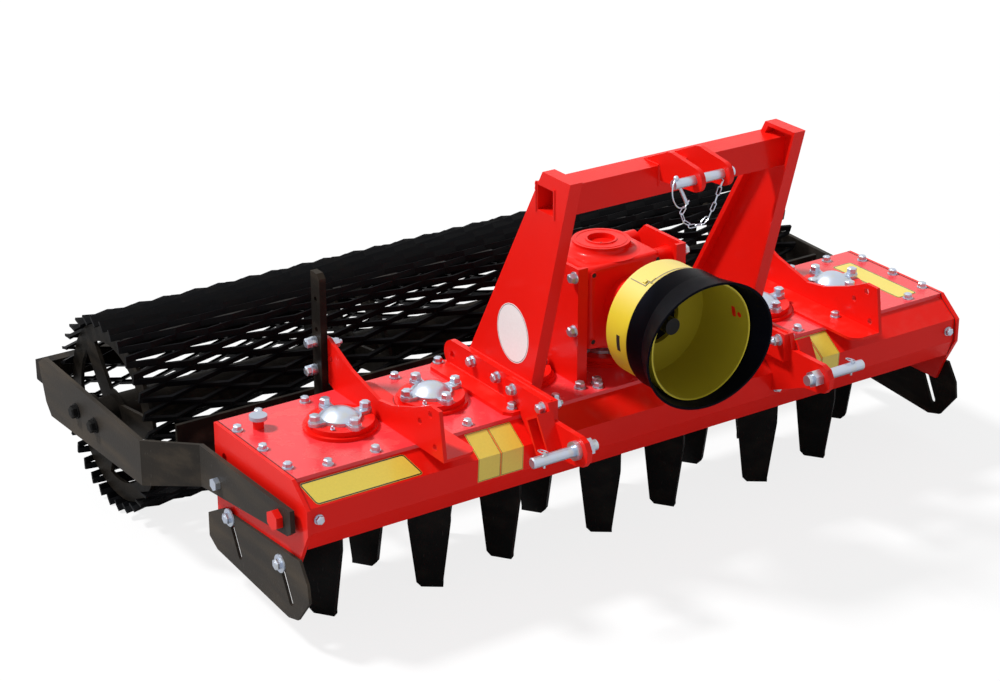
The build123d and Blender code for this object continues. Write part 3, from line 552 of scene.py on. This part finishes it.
def nipple_part(size):
    """Grease nipple: hex foot, neck and ball."""
    bm = bmesh.new()
    add_disc(bm, size * 0.58, size * 0.58, 0.0, size * 0.45, 6)
    add_disc(bm, size * 0.34, size * 0.26, size * 0.45, size * 1.0, 12)
    ball = Matrix.Translation((0, 0, size * 1.12))
    bmesh.ops.create_uvsphere(bm, u_segments=12, v_segments=8, radius=size * 0.34, matrix=ball)
    return part_mesh(bm)


def ball_part(radius):
    """Small ball."""
    bm = bmesh.new()
    bmesh.ops.create_uvsphere(bm, u_segments=14, v_segments=10, radius=radius)
    return part_mesh(bm)


def ring_part(radius, wire, segments=20, around=6, sweep=2 * math.pi):
    """Round wire bent about Z: a whole ring, or an arc from the X axis."""
    bm = bmesh.new()
    start = Matrix.Translation((radius, 0, 0)) @ Matrix.Rotation(math.pi / 2, 4, "X")
    whole = sweep > 2 * math.pi - 1e-6
    verts = bmesh.ops.create_circle(
        bm, cap_ends=not whole, segments=around, radius=wire / 2, matrix=start)["verts"]
    edges = list({e for v in verts for e in v.link_edges})
    faces = list({f for v in verts for f in v.link_faces})
    bmesh.ops.spin(
        bm, geom=verts + edges + faces, cent=(0, 0, 0), axis=UP, angle=sweep, steps=segments,
        use_merge=whole)
    bmesh.ops.remove_doubles(bm, verts=bm.verts, dist=1e-6)
    return part_mesh(bm)


def link_part(length, width, wire):
    """One chain link: a ring drawn out along X."""
    ring = ring_part((width - wire) / 2, wire, segments=12, around=5)
    bm = bmesh.new()
    bm.from_mesh(ring)
    # half a step of the ring, so that none of its sections lies between the two halves
    half_step = Matrix.Rotation(math.radians(15), 3, "Z")
    bmesh.ops.rotate(bm, verts=bm.verts, cent=(0, 0, 0), matrix=half_step)
    for side in (-1, 1):
        end = [v for v in bm.verts if v.co.x * side > 0]
        bmesh.ops.translate(bm, verts=end, vec=(side * (length - width) / 2, 0, 0))
    return part_mesh(bm)


def rod_part(radius, length):
    """Round rod on Z from 0 to its length, with rounded edges at its ends."""
    bm = bmesh.new()
    verts = add_disc(bm, radius, radius, 0.0, length, 16)
    ends = [e for e in bm.edges if abs(e.verts[0].co.z - e.verts[1].co.z) < 1e-9 and e.verts[0] in verts]
    bmesh.ops.bevel(
        bm, geom=ends, offset=radius * 0.12, segments=2, profile=0.5, affect="EDGES", material=-1)
    return part_mesh(bm)


def add_bead(bm, start, end, radius):
    """Straight weld bead with its ripples."""
    ripple = 4.5 * MM
    groove = 0.78
    count = max(1, round((end - start).length / ripple))
    stations = [start.lerp(end, i / count) for i in range(count)] + [end]
    foot = placed(start, (stations[1] - start).normalized())
    verts = bmesh.ops.create_circle(bm, cap_ends=True, segments=6, radius=radius, matrix=foot)["verts"]
    edges = list({e for v in verts for e in v.link_edges})
    size = 1.0
    for i, (a, b) in enumerate(zip(stations, stations[1:])):
        made = bmesh.ops.extrude_edge_only(bm, edges=edges)["geom"]
        verts = [g for g in made if isinstance(g, bmesh.types.BMVert)]
        edges = [g for g in made if isinstance(g, bmesh.types.BMEdge) and g.is_boundary]
        wanted = groove if i % 2 == 0 else 1.0
        bmesh.ops.translate(bm, verts=verts, vec=b - a)
        bmesh.ops.scale(bm, verts=verts, vec=(wanted / size,) * 3, space=Matrix.Translation(-b))
        size = wanted
    bmesh.ops.contextual_create(bm, geom=edges)


def plate_part(corners, lift, margin, line, round_off):
    """Thin plate through its corners, with round corners, a bare margin and a dark line inside it."""
    bm = bmesh.new()
    bm.faces.new([bm.verts.new(c) for c in corners])
    bmesh.ops.bevel(
        bm, geom=bm.verts[:], offset=round_off, segments=3, profile=0.5, affect="VERTICES", material=-1)
    raise_and_line(bm, lift, margin, line)
    return part_mesh(bm)


def folded_part(edges, lift, margin, line):
    """Thin plate over a bend, from the two ends of each of its three level edges."""
    bm = bmesh.new()
    rows = [[bm.verts.new(end) for end in edge] for edge in edges]
    for upper, lower in zip(rows, rows[1:]):
        bm.faces.new((lower[0], lower[1], upper[1], upper[0]))
    raise_and_line(bm, lift, margin, line)
    return part_mesh(bm)


def raise_and_line(bm, lift, margin, line):
    """Gives the faces of a bmesh their thickness, then a dark line inside a margin."""
    base = bm.faces[:]
    bm.normal_update()
    outward = sum((face.normal for face in base), Vector()).normalized()
    made = bmesh.ops.extrude_face_region(bm, geom=base)["geom"]
    top = [g for g in made if isinstance(g, bmesh.types.BMFace)]
    bmesh.ops.translate(bm, verts=list({v for face in top for v in face.verts}), vec=outward * lift)
    bmesh.ops.inset_region(bm, faces=top, thickness=margin, use_even_offset=True)
    for rim in bmesh.ops.inset_region(bm, faces=top, thickness=line, use_even_offset=True)["faces"]:
        rim.material_index = 1


# Operators, one for each piece or group of like pieces

class HARROW_OT_finishes(Operator):
    """Make the finishes and give each CAD node its own"""

    bl_idname = "harrow.finishes"
    bl_label = "Finishes"

    def execute(self, context):
        FINISHES.update(make_finishes(context.scene.harrow_colours))
        for part in SUBPARTS:
            node = frame["nodes"][part["node"]]
            finish = finish_named(OWN_FINISH.get(part["node"], part["material_slot"]))
            if not node.material_slots:
                node.data.materials.append(finish)
            for slot in node.material_slots:
                slot.material = finish
        return {"FINISHED"}


class HARROW_OT_lid_screws(Operator):
    """Screws along the lid's edges and ends"""

    bl_idname = "harrow.lid_screws"
    bl_label = "Lid screws"

    def execute(self, context):
        bm = bmesh.new()
        part = screw_part(context.scene.harrow_sizes.lid_screw)
        pitch = (ROTOR_X[1] - ROTOR_X[0]) / 2
        # feet that some screws of a row stand on, by the screw's count from the middle
        feet = {3: BASE_FOOT, 5: WING_FOOT}
        for y in (138.0, -131.0):
            for i in range(-ROTOR_COUNT, ROTOR_COUNT + 1):
                under = feet.get(abs(i), 0.0)
                stamp(bm, part, placed(at(i * pitch, y, LID_TOP + under), UP, 0.4 * i))
        for side in (-1, 1):
            for y in (96.0, -5.0, -101.0):
                stamp(bm, part, placed(at(side * 805.0, y, LID_TOP), UP, 0.3 * y))
        add_piece("lid_screws", bm, ["zinc_plate"], "frame")
        return {"FINISHED"}


class HARROW_OT_cap_screws(Operator):
    """Four screws and a grease nipple at each bearing cap but the middle one, under the gearbox"""

    bl_idname = "harrow.cap_screws"
    bl_label = "Cap screws"

    def execute(self, context):
        bm = bmesh.new()
        nipples = bmesh.new()
        part = screw_part(context.scene.harrow_sizes.cap_screw, head=0.66, washer=0.66)
        nipple = nipple_part(8.0 * MM)
        for i, x in enumerate(ROTOR_X):
            if i == MIDDLE_ROTOR:
                continue
            for k in range(4):
                angle = math.radians(90 * k)
                shift = CAP_ARM_REACH * math.cos(angle)
                y = CAP_ARM_REACH * math.sin(angle)
                point = at(x + shift, y, CAP_BASE + CAP_ARM_HEIGHT)
                stamp(bm, part, placed(point, UP, 0.35 * (i + k)))
            corner = at(x - 39.0, -37.0, CAP_BASE)
            stamp(nipples, nipple, placed(corner, (-0.25, -0.35, 0.9)))
        add_piece("cap_screws", bm, ["zinc_plate"], "frame")
        add_piece("grease_nipples", nipples, ["zinc_plate"], "frame")
        return {"FINISHED"}


class HARROW_OT_headstock_screws(Operator):
    """Screws and nuts through the base plates and the lugs, and in the posts' clamps"""

    bl_idname = "harrow.headstock_screws"
    bl_label = "Headstock screws"

    def execute(self, context):
        across = context.scene.harrow_sizes.plate_screw
        bm = bmesh.new()
        head = screw_part(across, head=0.6)
        nut = screw_part(across, head=0.75, stud=0.35)
        long_head = screw_part(across, head=0.6, washer=0.62, sleeve=0.55)
        # Y, Z and face of each screw through a base plate
        places = (
            (36.0, 400.0, BASE_FACE),
            (-54.0, 398.0, BASE_FACE),
            (-126.0, 401.0, LUG_FACE),
            (-227.0, 400.0, LUG_FACE),
        )
        for side in (-1, 1):
            for y, z, face in places:
                stamp(bm, head, placed(at(side * face, y, z), (side, 0, 0), 0.01 * y))
                stamp(bm, nut, placed(at(side * BASE_INNER, y, z), (-side, 0, 0), 0.02 * y))
            # the posts' two screws, and the upper one's nut behind the wing bracket
            for y, z in ((199.0, 451.0), (202.0, 389.0)):
                stamp(bm, long_head, placed(at(side * POST_FACE, y, z), (side, 0, 0), 0.02 * z))
            behind = at(side * (WING_FACE - WING_THICK), 174.0, 449.0)
            stamp(bm, nut, placed(behind, (-side, 0, 0), 0.3))
        add_piece("headstock_screws", bm, ["zinc_plate"], "frame")
        return {"FINISHED"}


class HARROW_OT_gearbox_details(Operator):
    """Gearbox screws, its threaded holes, the trim of its cover and the shaft's seal"""

    bl_idname = "harrow.gearbox_details"
    bl_label = "Gearbox details"

    def execute(self, context):
        bm = bmesh.new()
        head = screw_part(context.scene.harrow_sizes.plate_screw, head=0.6)
        for side in (-1, 1):
            # through the side plates, then into the lid beside the gearbox
            for y, z in ((-88.0, 471.0), (-88.0, 586.0), (62.0, 465.0), (62.0, 565.0)):
                stamp(bm, head, placed(at(side * SIDE_PLATE_FACE, y, z), (side, 0, 0), 0.03 * z))
            for x, y in ((137.0, -113.0), (95.0, -114.0), (152.0, 60.0)):
                stamp(bm, head, placed(at(side * x, y, LID_TOP), UP, 0.05 * x))
        add_piece("gearbox_screws", bm, ["zinc_plate"], "frame")
        self.casting()
        self.seal()
        return {"FINISHED"}

    @staticmethod
    def casting():
        """Threaded holes with their rims, and the foot, rings and centre mark of the cover."""
        cover_top = face_of("gearbox_cover", "z", 1)
        disc = bmesh.new()
        add_disc(disc, 5.6 * MM, 5.6 * MM, 0.0, 0.6 * MM, 20)
        hole = part_mesh(disc)
        rim = ring_part(6.0 * MM, 2.4 * MM)
        holes = bmesh.new()
        rims = bmesh.new()
        for side in (-1, 1):
            for z in (575.0, 430.0):
                place = placed(at(side * 80.0, GEARBOX_FRONT, z), TOWARDS_TRACTOR)
                stamp(holes, hole, place)
                stamp(rims, rim, place)
        dish = Matrix.Translation(at(0.0, COVER_Y, cover_top - DISH_DEPTH))
        stamp(holes, hole, dish @ Matrix.Diagonal((0.42, 0.42, 1.0, 1.0)))
        add_piece("gearbox_holes", holes, ["recess"], "frame")
        # radius and height of each point of a section
        foot = ((60.5, 15.0), (62.0, 9.0), (66.5, 4.0), (74.0, 1.0), (84.0, -0.5), (59.0, -0.5))
        inner_ring = ((28.0, -1.0), (28.6, 2.2), (32.6, 2.2), (34.4, -1.0))
        outer_ring = ((50.0, -1.0), (51.2, 0.9), (53.4, 0.9), (54.6, -1.0))
        gearbox_top = face_of("gearbox", "z", 1)
        for section, z in ((foot, gearbox_top), (inner_ring, cover_top), (outer_ring, cover_top)):
            add_turned(rims, Matrix.Translation(at(0.0, COVER_Y, z)), section)
        add_piece("gearbox_casting_trim", rims, ["red_paint"], "frame")

    @staticmethod
    def seal():
        """Rubber seal round the input shaft, on the face of the gearbox's neck."""
        bm = bmesh.new()
        # radius, and height over that face, of each point of the section
        lips = ((24.0, -0.5), (24.0, 2.0), (33.0, 3.4), (36.0, 1.8), (53.0, 2.6), (54.7, -0.5))
        add_turned(bm, placed(at(0.0, NECK_FACE, SHIELD_Z), TOWARDS_TRACTOR), lips)
        add_piece("shaft_seal", bm, ["black_rubber"], "frame")


class HARROW_OT_guard_details(Operator):
    """Latch, seams, slots and small windows of the shaft guard"""

    bl_idname = "harrow.guard_details"
    bl_label = "Guard details"

    def execute(self, context):
        # front and back Y, first and last angle, and height of each strip
        raised = (
            (-250.0, -239.0, 40.0, 118.0, 1.6),
            (-236.0, -229.0, 112.0, 118.0, 2.6),
            (-227.0, -219.0, 118.6, 122.0, 3.0),
        )
        # dark strips: painted shade in the grooves of the seams and along the latch's edges
        dark = (
            (-239.8, -236.2, 40.0, 118.0, 1.7),
            (-232.0, -184.0, 123.4, 124.5, 0.5),
            (-240.0, -218.0, 117.8, 119.2, 1.0),
            (-233.0, -230.0, 118.0, 124.5, 1.0),
        )
        cut = (
            (-222.0, -212.0, 178.0, 194.0, 0.5),
            (-222.0, -212.0, -13.0, 3.0, 0.5),
        )
        kinds = (
            ("guard_latch", "yellow_plastic", raised),
            ("guard_seam_shadows", "guard_seam", dark),
            ("guard_slots", "recess", cut),
        )
        for name, finish, strips in kinds:
            bm = bmesh.new()
            for strip in strips:
                self.strip(bm, *strip)
            add_piece(name, bm, [finish], "frame")
        self.windows()
        return {"FINISHED"}

    @staticmethod
    def windows():
        """A long and a round window in the drum's wall, red from what lies behind them."""
        disc = bmesh.new()
        add_disc(disc, 6.0 * MM, 6.0 * MM, 0.0, 0.6 * MM, 16)
        window = part_mesh(disc)
        reach = (SHIELD_RADIUS - SHIELD_WALL) * MM
        bm = bmesh.new()
        # Y and angle of each, and its length along the drum's curve as a share of its width
        for y, angle, drawn in ((-282.0, 11.0, 3.6), (-299.0, 10.0, 1.0)):
            direction = from_axis(angle)
            place = placed(at(0, y, SHIELD_Z) + direction * reach, -direction)
            stamp(bm, window, place @ Matrix.Diagonal((1.0, drawn, 1.0, 1.0)))
        add_piece("guard_windows", bm, ["red_paint"], "frame")

    @staticmethod
    def strip(bm, front, back, start, end, height):
        """Strip on the drum between two Y places and two angles from +X."""
        inner = (SHIELD_RADIUS - 0.3) * MM
        outer = (SHIELD_RADIUS + height) * MM
        direction = from_axis(start)
        centre = at(0, 0, SHIELD_Z)
        corners = []
        for radius, y in ((inner, front), (outer, front), (outer, back), (inner, back)):
            corners.append(bm.verts.new(centre + direction * radius + Vector((0, y * MM, 0))))
        face = bm.faces.new(corners)
        steps = max(2, round((end - start) / 4))
        bmesh.ops.spin(
            bm, geom=[face] + list(face.edges) + list(face.verts), cent=centre, axis=TOWARDS_TRACTOR,
            angle=math.radians(end - start), steps=steps)


class HARROW_OT_end_screws(Operator):
    """Screws of the deflectors, the casing's ends and the roller's bearings"""

    bl_idname = "harrow.end_screws"
    bl_label = "End screws"

    def execute(self, context):
        sizes = context.scene.harrow_sizes
        bm = bmesh.new()
        big = screw_part(sizes.plate_screw * 1.15, head=0.46, washer=0.92)
        small = screw_part(sizes.lid_screw, head=0.5, washer=0.66)
        for side in (-1, 1):
            for y, z in ((97.0, 174.0), (-104.0, 162.0)):
                stamp(bm, big, placed(at(side * DEFLECTOR_FACE, y, z), (side, 0, 0), 0.02 * y))
        # in the casing's front: at its ends, and under the right lug
        for x, z in ((-797.0, 287.0), (797.0, 287.0), (311.0, 276.0)):
            stamp(bm, small, placed(at(x, TROUGH_FRONT, z), TOWARDS_TRACTOR, 0.2))
        add_piece("end_screws", bm, ["zinc_plate"], "frame")
        dark = bmesh.new()
        bolt = screw_part(sizes.plate_screw * 1.35, head=0.45)
        centre_y = (JOINTS["roller_spin"]["pos_m"][1] - ROTOR_LINE) / MM
        centre_z = JOINTS["roller_spin"]["pos_m"][2] / MM
        for side in (-1, 1):
            # Y and Z of each bolt from the roller's axis
            for shift, rise in ((-62.0, 13.0), (26.0, 12.0)):
                point = at(side * ARM_FACE, centre_y + shift, centre_z + rise)
                stamp(dark, bolt, placed(point, (side, 0, 0), 0.3))
        add_piece("bearing_screws", dark, ["tine_paint"], "roller_frame")
        return {"FINISHED"}


class HARROW_OT_end_joints(Operator):
    """Dark joint lines where the end plates meet the casing"""

    bl_idname = "harrow.end_joints"
    bl_label = "End joints"

    def execute(self, context):
        bm = bmesh.new()
        # Y and Z of the casing's outline, from the lid's back edge to the chin
        outline = (
            (face_of("trough", "y", 1), LID_TOP),
            (LID_FRONT, LID_TOP),
            (LID_FRONT, LID_EDGE),
            (TROUGH_FRONT, SLOPE_FOOT),
            (TROUGH_FRONT, CHIN_TOP),
            (TROUGH_FRONT + CHIN_SET_BACK, face_of("trough", "z", 0)),
        )
        width = 1.6
        for side in (-1, 1):
            points = [at(side * (TROUGH_END - width / 2), y, z) for y, z in outline]
            for start, end in zip(points, points[1:]):
                outward = Vector((1, 0, 0)).cross(start - end).normalized()
                add_strip(bm, start, end, outward, width * MM, 0.5 * MM)
        add_piece("end_joints", bm, ["recess"], "frame")
        return {"FINISHED"}


class HARROW_OT_pin_clips(Operator):
    """Spring clips of the three hitch pins, and the chain of the top one"""

    bl_idname = "harrow.pin_clips"
    bl_label = "Pin clips"

    def execute(self, context):
        wire = context.scene.harrow_sizes.clip_wire
        pin_y = face_of("top_link_pin", "y", 0) + TOP_PIN_HEAD
        bm = bmesh.new()
        self.bow_clip(bm, at(-82.0, pin_y, 857.0), at(-54.0, pin_y, 800.0), wire)
        for side in (-1, 1):
            self.ring_clip(bm, at(side * 385.0, face_of("link_pin_left", "y", 0) + COLLAR_RADIUS, 355.0))
        add_piece("pin_clips", bm, ["zinc_plate"], "frame")
        self.chain(pin_y, wire)
        return {"FINISHED"}

    @staticmethod
    def bow_clip(bm, high, low, wire):
        """Clip with a leg between two points, a bow from one end to the other and a ball on top."""
        leg = low - high
        along = leg.normalized()
        outward = Vector((0, 1, 0)).cross(along).normalized()
        turn = Matrix((along, outward, along.cross(outward))).transposed().to_4x4()
        # the bow leans towards the tractor, clear of the pin's end
        lean = Matrix.Rotation(math.radians(-22), 4, "X")
        stamp(bm, rod_part(3.6 * MM, leg.length), placed(high, leg))
        bow = ring_part(leg.length / 2, wire, sweep=math.pi)
        stamp(bm, bow, Matrix.Translation((high + low) / 2) @ turn @ lean)
        stamp(bm, ball_part(5.4 * MM), Matrix.Translation(high))

    @staticmethod
    def ring_clip(bm, point):
        """Small upright pin through a link pin, with a ring on top."""
        half = 17.0 * MM
        stamp(bm, rod_part(2.6 * MM, 2 * half), placed(point - Vector((0, 0, half)), UP))
        above = Matrix.Translation(point + Vector((0, 4.0 * MM, 15.5 * MM)))
        stamp(bm, ring_part(10.0 * MM, 2.4 * MM), above @ Matrix.Rotation(0.3, 4, "Y"))

    @staticmethod
    def chain(pin_y, wire):
        """Links from the clip's tip under the pin to its other end."""
        # X, Y from the pin's axis and Z of the points that the chain hangs through
        route = (
            (-55, 0, 800), (-72, -6, 787), (-66, -8, 770), (-48, -9, 757), (-27, -10, 756),
            (-6, -10, 771), (6, -9, 792), (18, -7, 818), (31, -3, 834), (47, 0, 842),
        )
        points = [at(x, pin_y + y, z) for x, y, z in route]
        length = 20.0 * MM
        link_wire = wire * 0.8
        link = link_part(length, 9.0 * MM, link_wire)
        pitch = length - 2 * link_wire
        bm = bmesh.new()
        ahead = 0.0
        count = 0
        for a, b in zip(points, points[1:]):
            run = (b - a).length
            along = (b - a).normalized()
            turn = along.to_track_quat("X", "Z").to_matrix().to_4x4()
            while ahead <= run:
                # each link stands a quarter turn from the last
                roll = Matrix.Rotation(math.radians(45 + 90 * (count % 2)), 4, "X")
                stamp(bm, link, Matrix.Translation(a + along * ahead) @ turn @ roll)
                ahead += pitch
                count += 1
            ahead -= run
        add_piece("pin_chain", bm, ["zinc_plate"], "frame")


class HARROW_OT_plates(Operator):
    """Blank plates on the casing and the blank oval on the upright"""

    bl_idname = "harrow.plates"
    bl_label = "Plates"

    def execute(self, context):
        def slope(x, share):
            """A point on the casing's sloping face, by its share of the way down."""
            y = LID_FRONT + (TROUGH_FRONT - LID_FRONT) * share
            z = LID_EDGE + (SLOPE_FOOT - LID_EDGE) * share
            return at(x, y, z)

        bm = bmesh.new()
        in_place = Matrix.Identity(4)
        long_slope = [slope(-797, 0.93), slope(-562, 0.93), slope(-583, 0.07), slope(-813, 0.07)]
        long_lid = [at(x, y, LID_TOP) for x, y in ((719, -119), (774, -119), (774, 101), (719, 101))]
        for corners in (long_slope, long_lid):
            plate = plate_part(corners, lift=0.6 * MM, margin=0.5 * MM, line=2.6 * MM, round_off=7 * MM)
            stamp(bm, plate, in_place)
        # left edge, middle line and right edge of each pair of small plates, at their top
        for left, middle, right in ((-441.0, -388.0, -335.0), (382.0, 431.0, 480.0)):
            for x0, x1 in ((left, middle - 1), (middle + 1, right)):
                edges = (
                    (slope(x0, 0.02), slope(x1, 0.02)),
                    (slope(x0 + 2, 1.0), slope(x1 + 2, 1.0)),
                    (at(x0, TROUGH_FRONT, 263.0), at(x1, TROUGH_FRONT, 263.0)),
                )
                stamp(bm, folded_part(edges, lift=0.7 * MM, margin=0.8 * MM, line=0.9 * MM), in_place)
        add_piece("yellow_plates", bm, ["plate_ground", "plate_border"], "frame")
        self.oval()
        return {"FINISHED"}

    @staticmethod
    def oval():
        """White oval with a fine dark line, on the left upright's outer face."""
        bm = bmesh.new()
        circle = bmesh.ops.create_circle(bm, cap_ends=True, segments=64, radius=1.0)["verts"]
        bmesh.ops.scale(bm, verts=circle, vec=(54 * MM, 62 * MM, 1))
        raise_and_line(bm, lift=0.6 * MM, margin=1.5 * MM, line=1.2 * MM)
        centre = at(face_of("upright_left", "x", 0), -90.0, 503.0)
        facing_left = Matrix(((0, 0, -1), (-1, 0, 0), (0, 1, 0))).to_4x4()
        bmesh.ops.transform(bm, matrix=Matrix.Translation(centre) @ facing_left, verts=bm.verts)
        add_piece("oval_plate", bm, ["badge_ground", "plate_border"], "frame")


class HARROW_OT_welds(Operator):
    """Weld beads of the headstock and the lugs"""

    bl_idname = "harrow.welds"
    bl_label = "Weld beads"

    def execute(self, context):
        radius = context.scene.harrow_sizes.bead
        bm = bmesh.new()
        inner = face_of("upright_right", "x", 1)
        top = face_of("base_plate_right", "z", 1)
        ear = face_of("top_link_ear_right", "x", 1)
        tube_front = face_of("cross_tube", "y", 0)
        tube_back = face_of("cross_tube", "y", 1)
        tube_bottom = face_of("cross_tube", "z", 0)
        tube_top = face_of("cross_tube", "z", 1)
        for side in (-1, 1):
            # X, then Y and Z of one end and of the other, of each bead along an edge
            beads = (
                (inner, -158.0, top, 64.0, top),
                (BASE_FACE, -150.0, LID_TOP + BASE_FOOT, 118.0, LID_TOP + BASE_FOOT),
                (BASE_FACE, -108.0, top, -240.0, top),
                (ear, tube_front, tube_top - 42.0, tube_front, tube_top),
                (ear, tube_front, tube_top, tube_front + 42.0, tube_top),
                (ear - EAR_THICK, tube_front, tube_top, tube_front + 42.0, tube_top),
            )
            for x, y0, z0, y1, z1 in beads:
                add_bead(bm, at(side * x, y0, z0), at(side * x, y1, z1), radius)
            for y in (tube_front, tube_back):
                add_bead(bm, at(side * inner, y, tube_bottom), at(side * inner, y, tube_top), radius)
        add_piece("weld_beads", bm, ["red_paint"], "frame")
        return {"FINISHED"}


class HARROW_OT_stage(Operator):
    """Pale floor, soft light, white background and the camera"""

    bl_idname = "harrow.stage"
    bl_label = "Stage"

    def execute(self, context):
        scene = context.scene
        self.floor(scene)
        self.world(scene)
        sun = bpy.data.lights.new("sun", "SUN")
        sun.energy = 3.3
        sun.angle = math.radians(9)
        lamp = bpy.data.objects.new("sun", sun)
        towards_sun = Vector((-0.42, 0.40, 0.81))
        lamp.rotation_euler = towards_sun.to_track_quat("Z", "Y").to_euler()
        scene.collection.objects.link(lamp)
        lens = bpy.data.cameras.new("camera")
        lens.lens = 89.13
        lens.sensor_width = 36.0
        camera = bpy.data.objects.new("camera", lens)
        camera.location = (-2.8184, -4.0150, 2.4177)
        aim = Vector((-0.1595, -0.0894, 0.3746))
        camera.rotation_euler = (aim - camera.location).to_track_quat("-Z", "Y").to_euler()
        scene.collection.objects.link(camera)
        scene.camera = camera
        scene.view_settings.view_transform = "Standard"
        return {"FINISHED"}

    @staticmethod
    def floor(scene):
        """Wide plain floor that keeps the shadow and goes white elsewhere."""
        bm = bmesh.new()
        bmesh.ops.create_grid(bm, x_segments=1, y_segments=1, size=30.0)
        mesh = bpy.data.meshes.new("floor")
        bm.to_mesh(mesh)
        bm.free()
        material, finish = new_finish("floor_paper")
        fibre = finish.noise(40.0, 3.0)
        seen = finish.node("ShaderNodeLightPath", out="Is Camera Ray")
        tone = finish.mix(seen, (0.60, 0.60, 0.61), finish.mix(fibre, (0.93,) * 3, (0.95,) * 3))
        paper = finish.node("ShaderNodeBsdfDiffuse", {}, {"Color": tone})
        glow = finish.node("ShaderNodeEmission", {}, {"Color": (1, 1, 1, 1), "Strength": 1.0})
        mixed = finish.node("ShaderNodeMixShader", {}, {0: seen * 0.82, 1: paper, 2: glow})
        finish.node("ShaderNodeOutputMaterial", {}, {"Surface": mixed})
        mesh.materials.append(material)
        plane = bpy.data.objects.new("floor", mesh)
        scene.collection.objects.link(plane)

    @staticmethod
    def world(scene):
        """Even fill light, with a white background for what the camera and reflections see."""
        world = bpy.data.worlds.new("white_room")
        world.use_nodes = True
        scene.world = world
        finish = Finish(world.node_tree)
        fill = finish.node("ShaderNodeBackground", {}, {"Color": (0.96, 0.98, 1.0, 1.0), "Strength": 0.38})
        white = finish.node("ShaderNodeBackground", {}, {"Color": (1, 1, 1, 1), "Strength": 1.0})
        camera = finish.node("ShaderNodeLightPath", out="Is Camera Ray")
        glossy = finish.node("ShaderNodeLightPath", out="Is Glossy Ray")
        through = finish.node("ShaderNodeLightPath", out="Is Transmission Ray")
        seen = finish.node("ShaderNodeMath", {"operation": "MAXIMUM"}, {0: camera, 1: glossy})
        seen = finish.node("ShaderNodeMath", {"operation": "MAXIMUM"}, {0: seen, 1: through})
        mixed = finish.node("ShaderNodeMixShader", {}, {0: seen, 1: fill, 2: white})
        finish.node("ShaderNodeOutputWorld", {}, {"Surface": mixed})


# The sidebar, and the order of the steps

class HARROW_PT_sidebar(Panel):
    """Buttons for the harrow's steps, over its sizes and colours"""

    bl_idname = "HARROW_PT_sidebar"
    bl_label = "Power Harrow"
    bl_space_type = "VIEW_3D"
    bl_region_type = "UI"
    bl_category = "Harrow"

    def draw(self, context):
        layout = self.layout
        for step in STEPS:
            layout.operator(step.bl_idname)
        for group in (context.scene.harrow_sizes, context.scene.harrow_colours):
            column = layout.column()
            for name in group.__annotations__:
                column.prop(group, name)


STEPS = (
    HARROW_OT_stage,
    HARROW_OT_finishes,
    HARROW_OT_lid_screws,
    HARROW_OT_cap_screws,
    HARROW_OT_headstock_screws,
    HARROW_OT_gearbox_details,
    HARROW_OT_guard_details,
    HARROW_OT_end_screws,
    HARROW_OT_end_joints,
    HARROW_OT_pin_clips,
    HARROW_OT_plates,
    HARROW_OT_welds,
)
CLASSES = (HarrowSizes, HarrowColours, *STEPS, HARROW_PT_sidebar)


def register():
    for cls in CLASSES:
        bpy.utils.register_class(cls)
    bpy.types.Scene.harrow_sizes = PointerProperty(type=HarrowSizes)
    bpy.types.Scene.harrow_colours = PointerProperty(type=HarrowColours)


def unregister():
    del bpy.types.Scene.harrow_colours
    del bpy.types.Scene.harrow_sizes
    for cls in reversed(CLASSES):
        bpy.utils.unregister_class(cls)


def main():
    register()
    for step in STEPS:
        group, name = step.bl_idname.split(".")
        getattr(getattr(bpy.ops, group), name)()


if __name__ == "__main__":
    main()
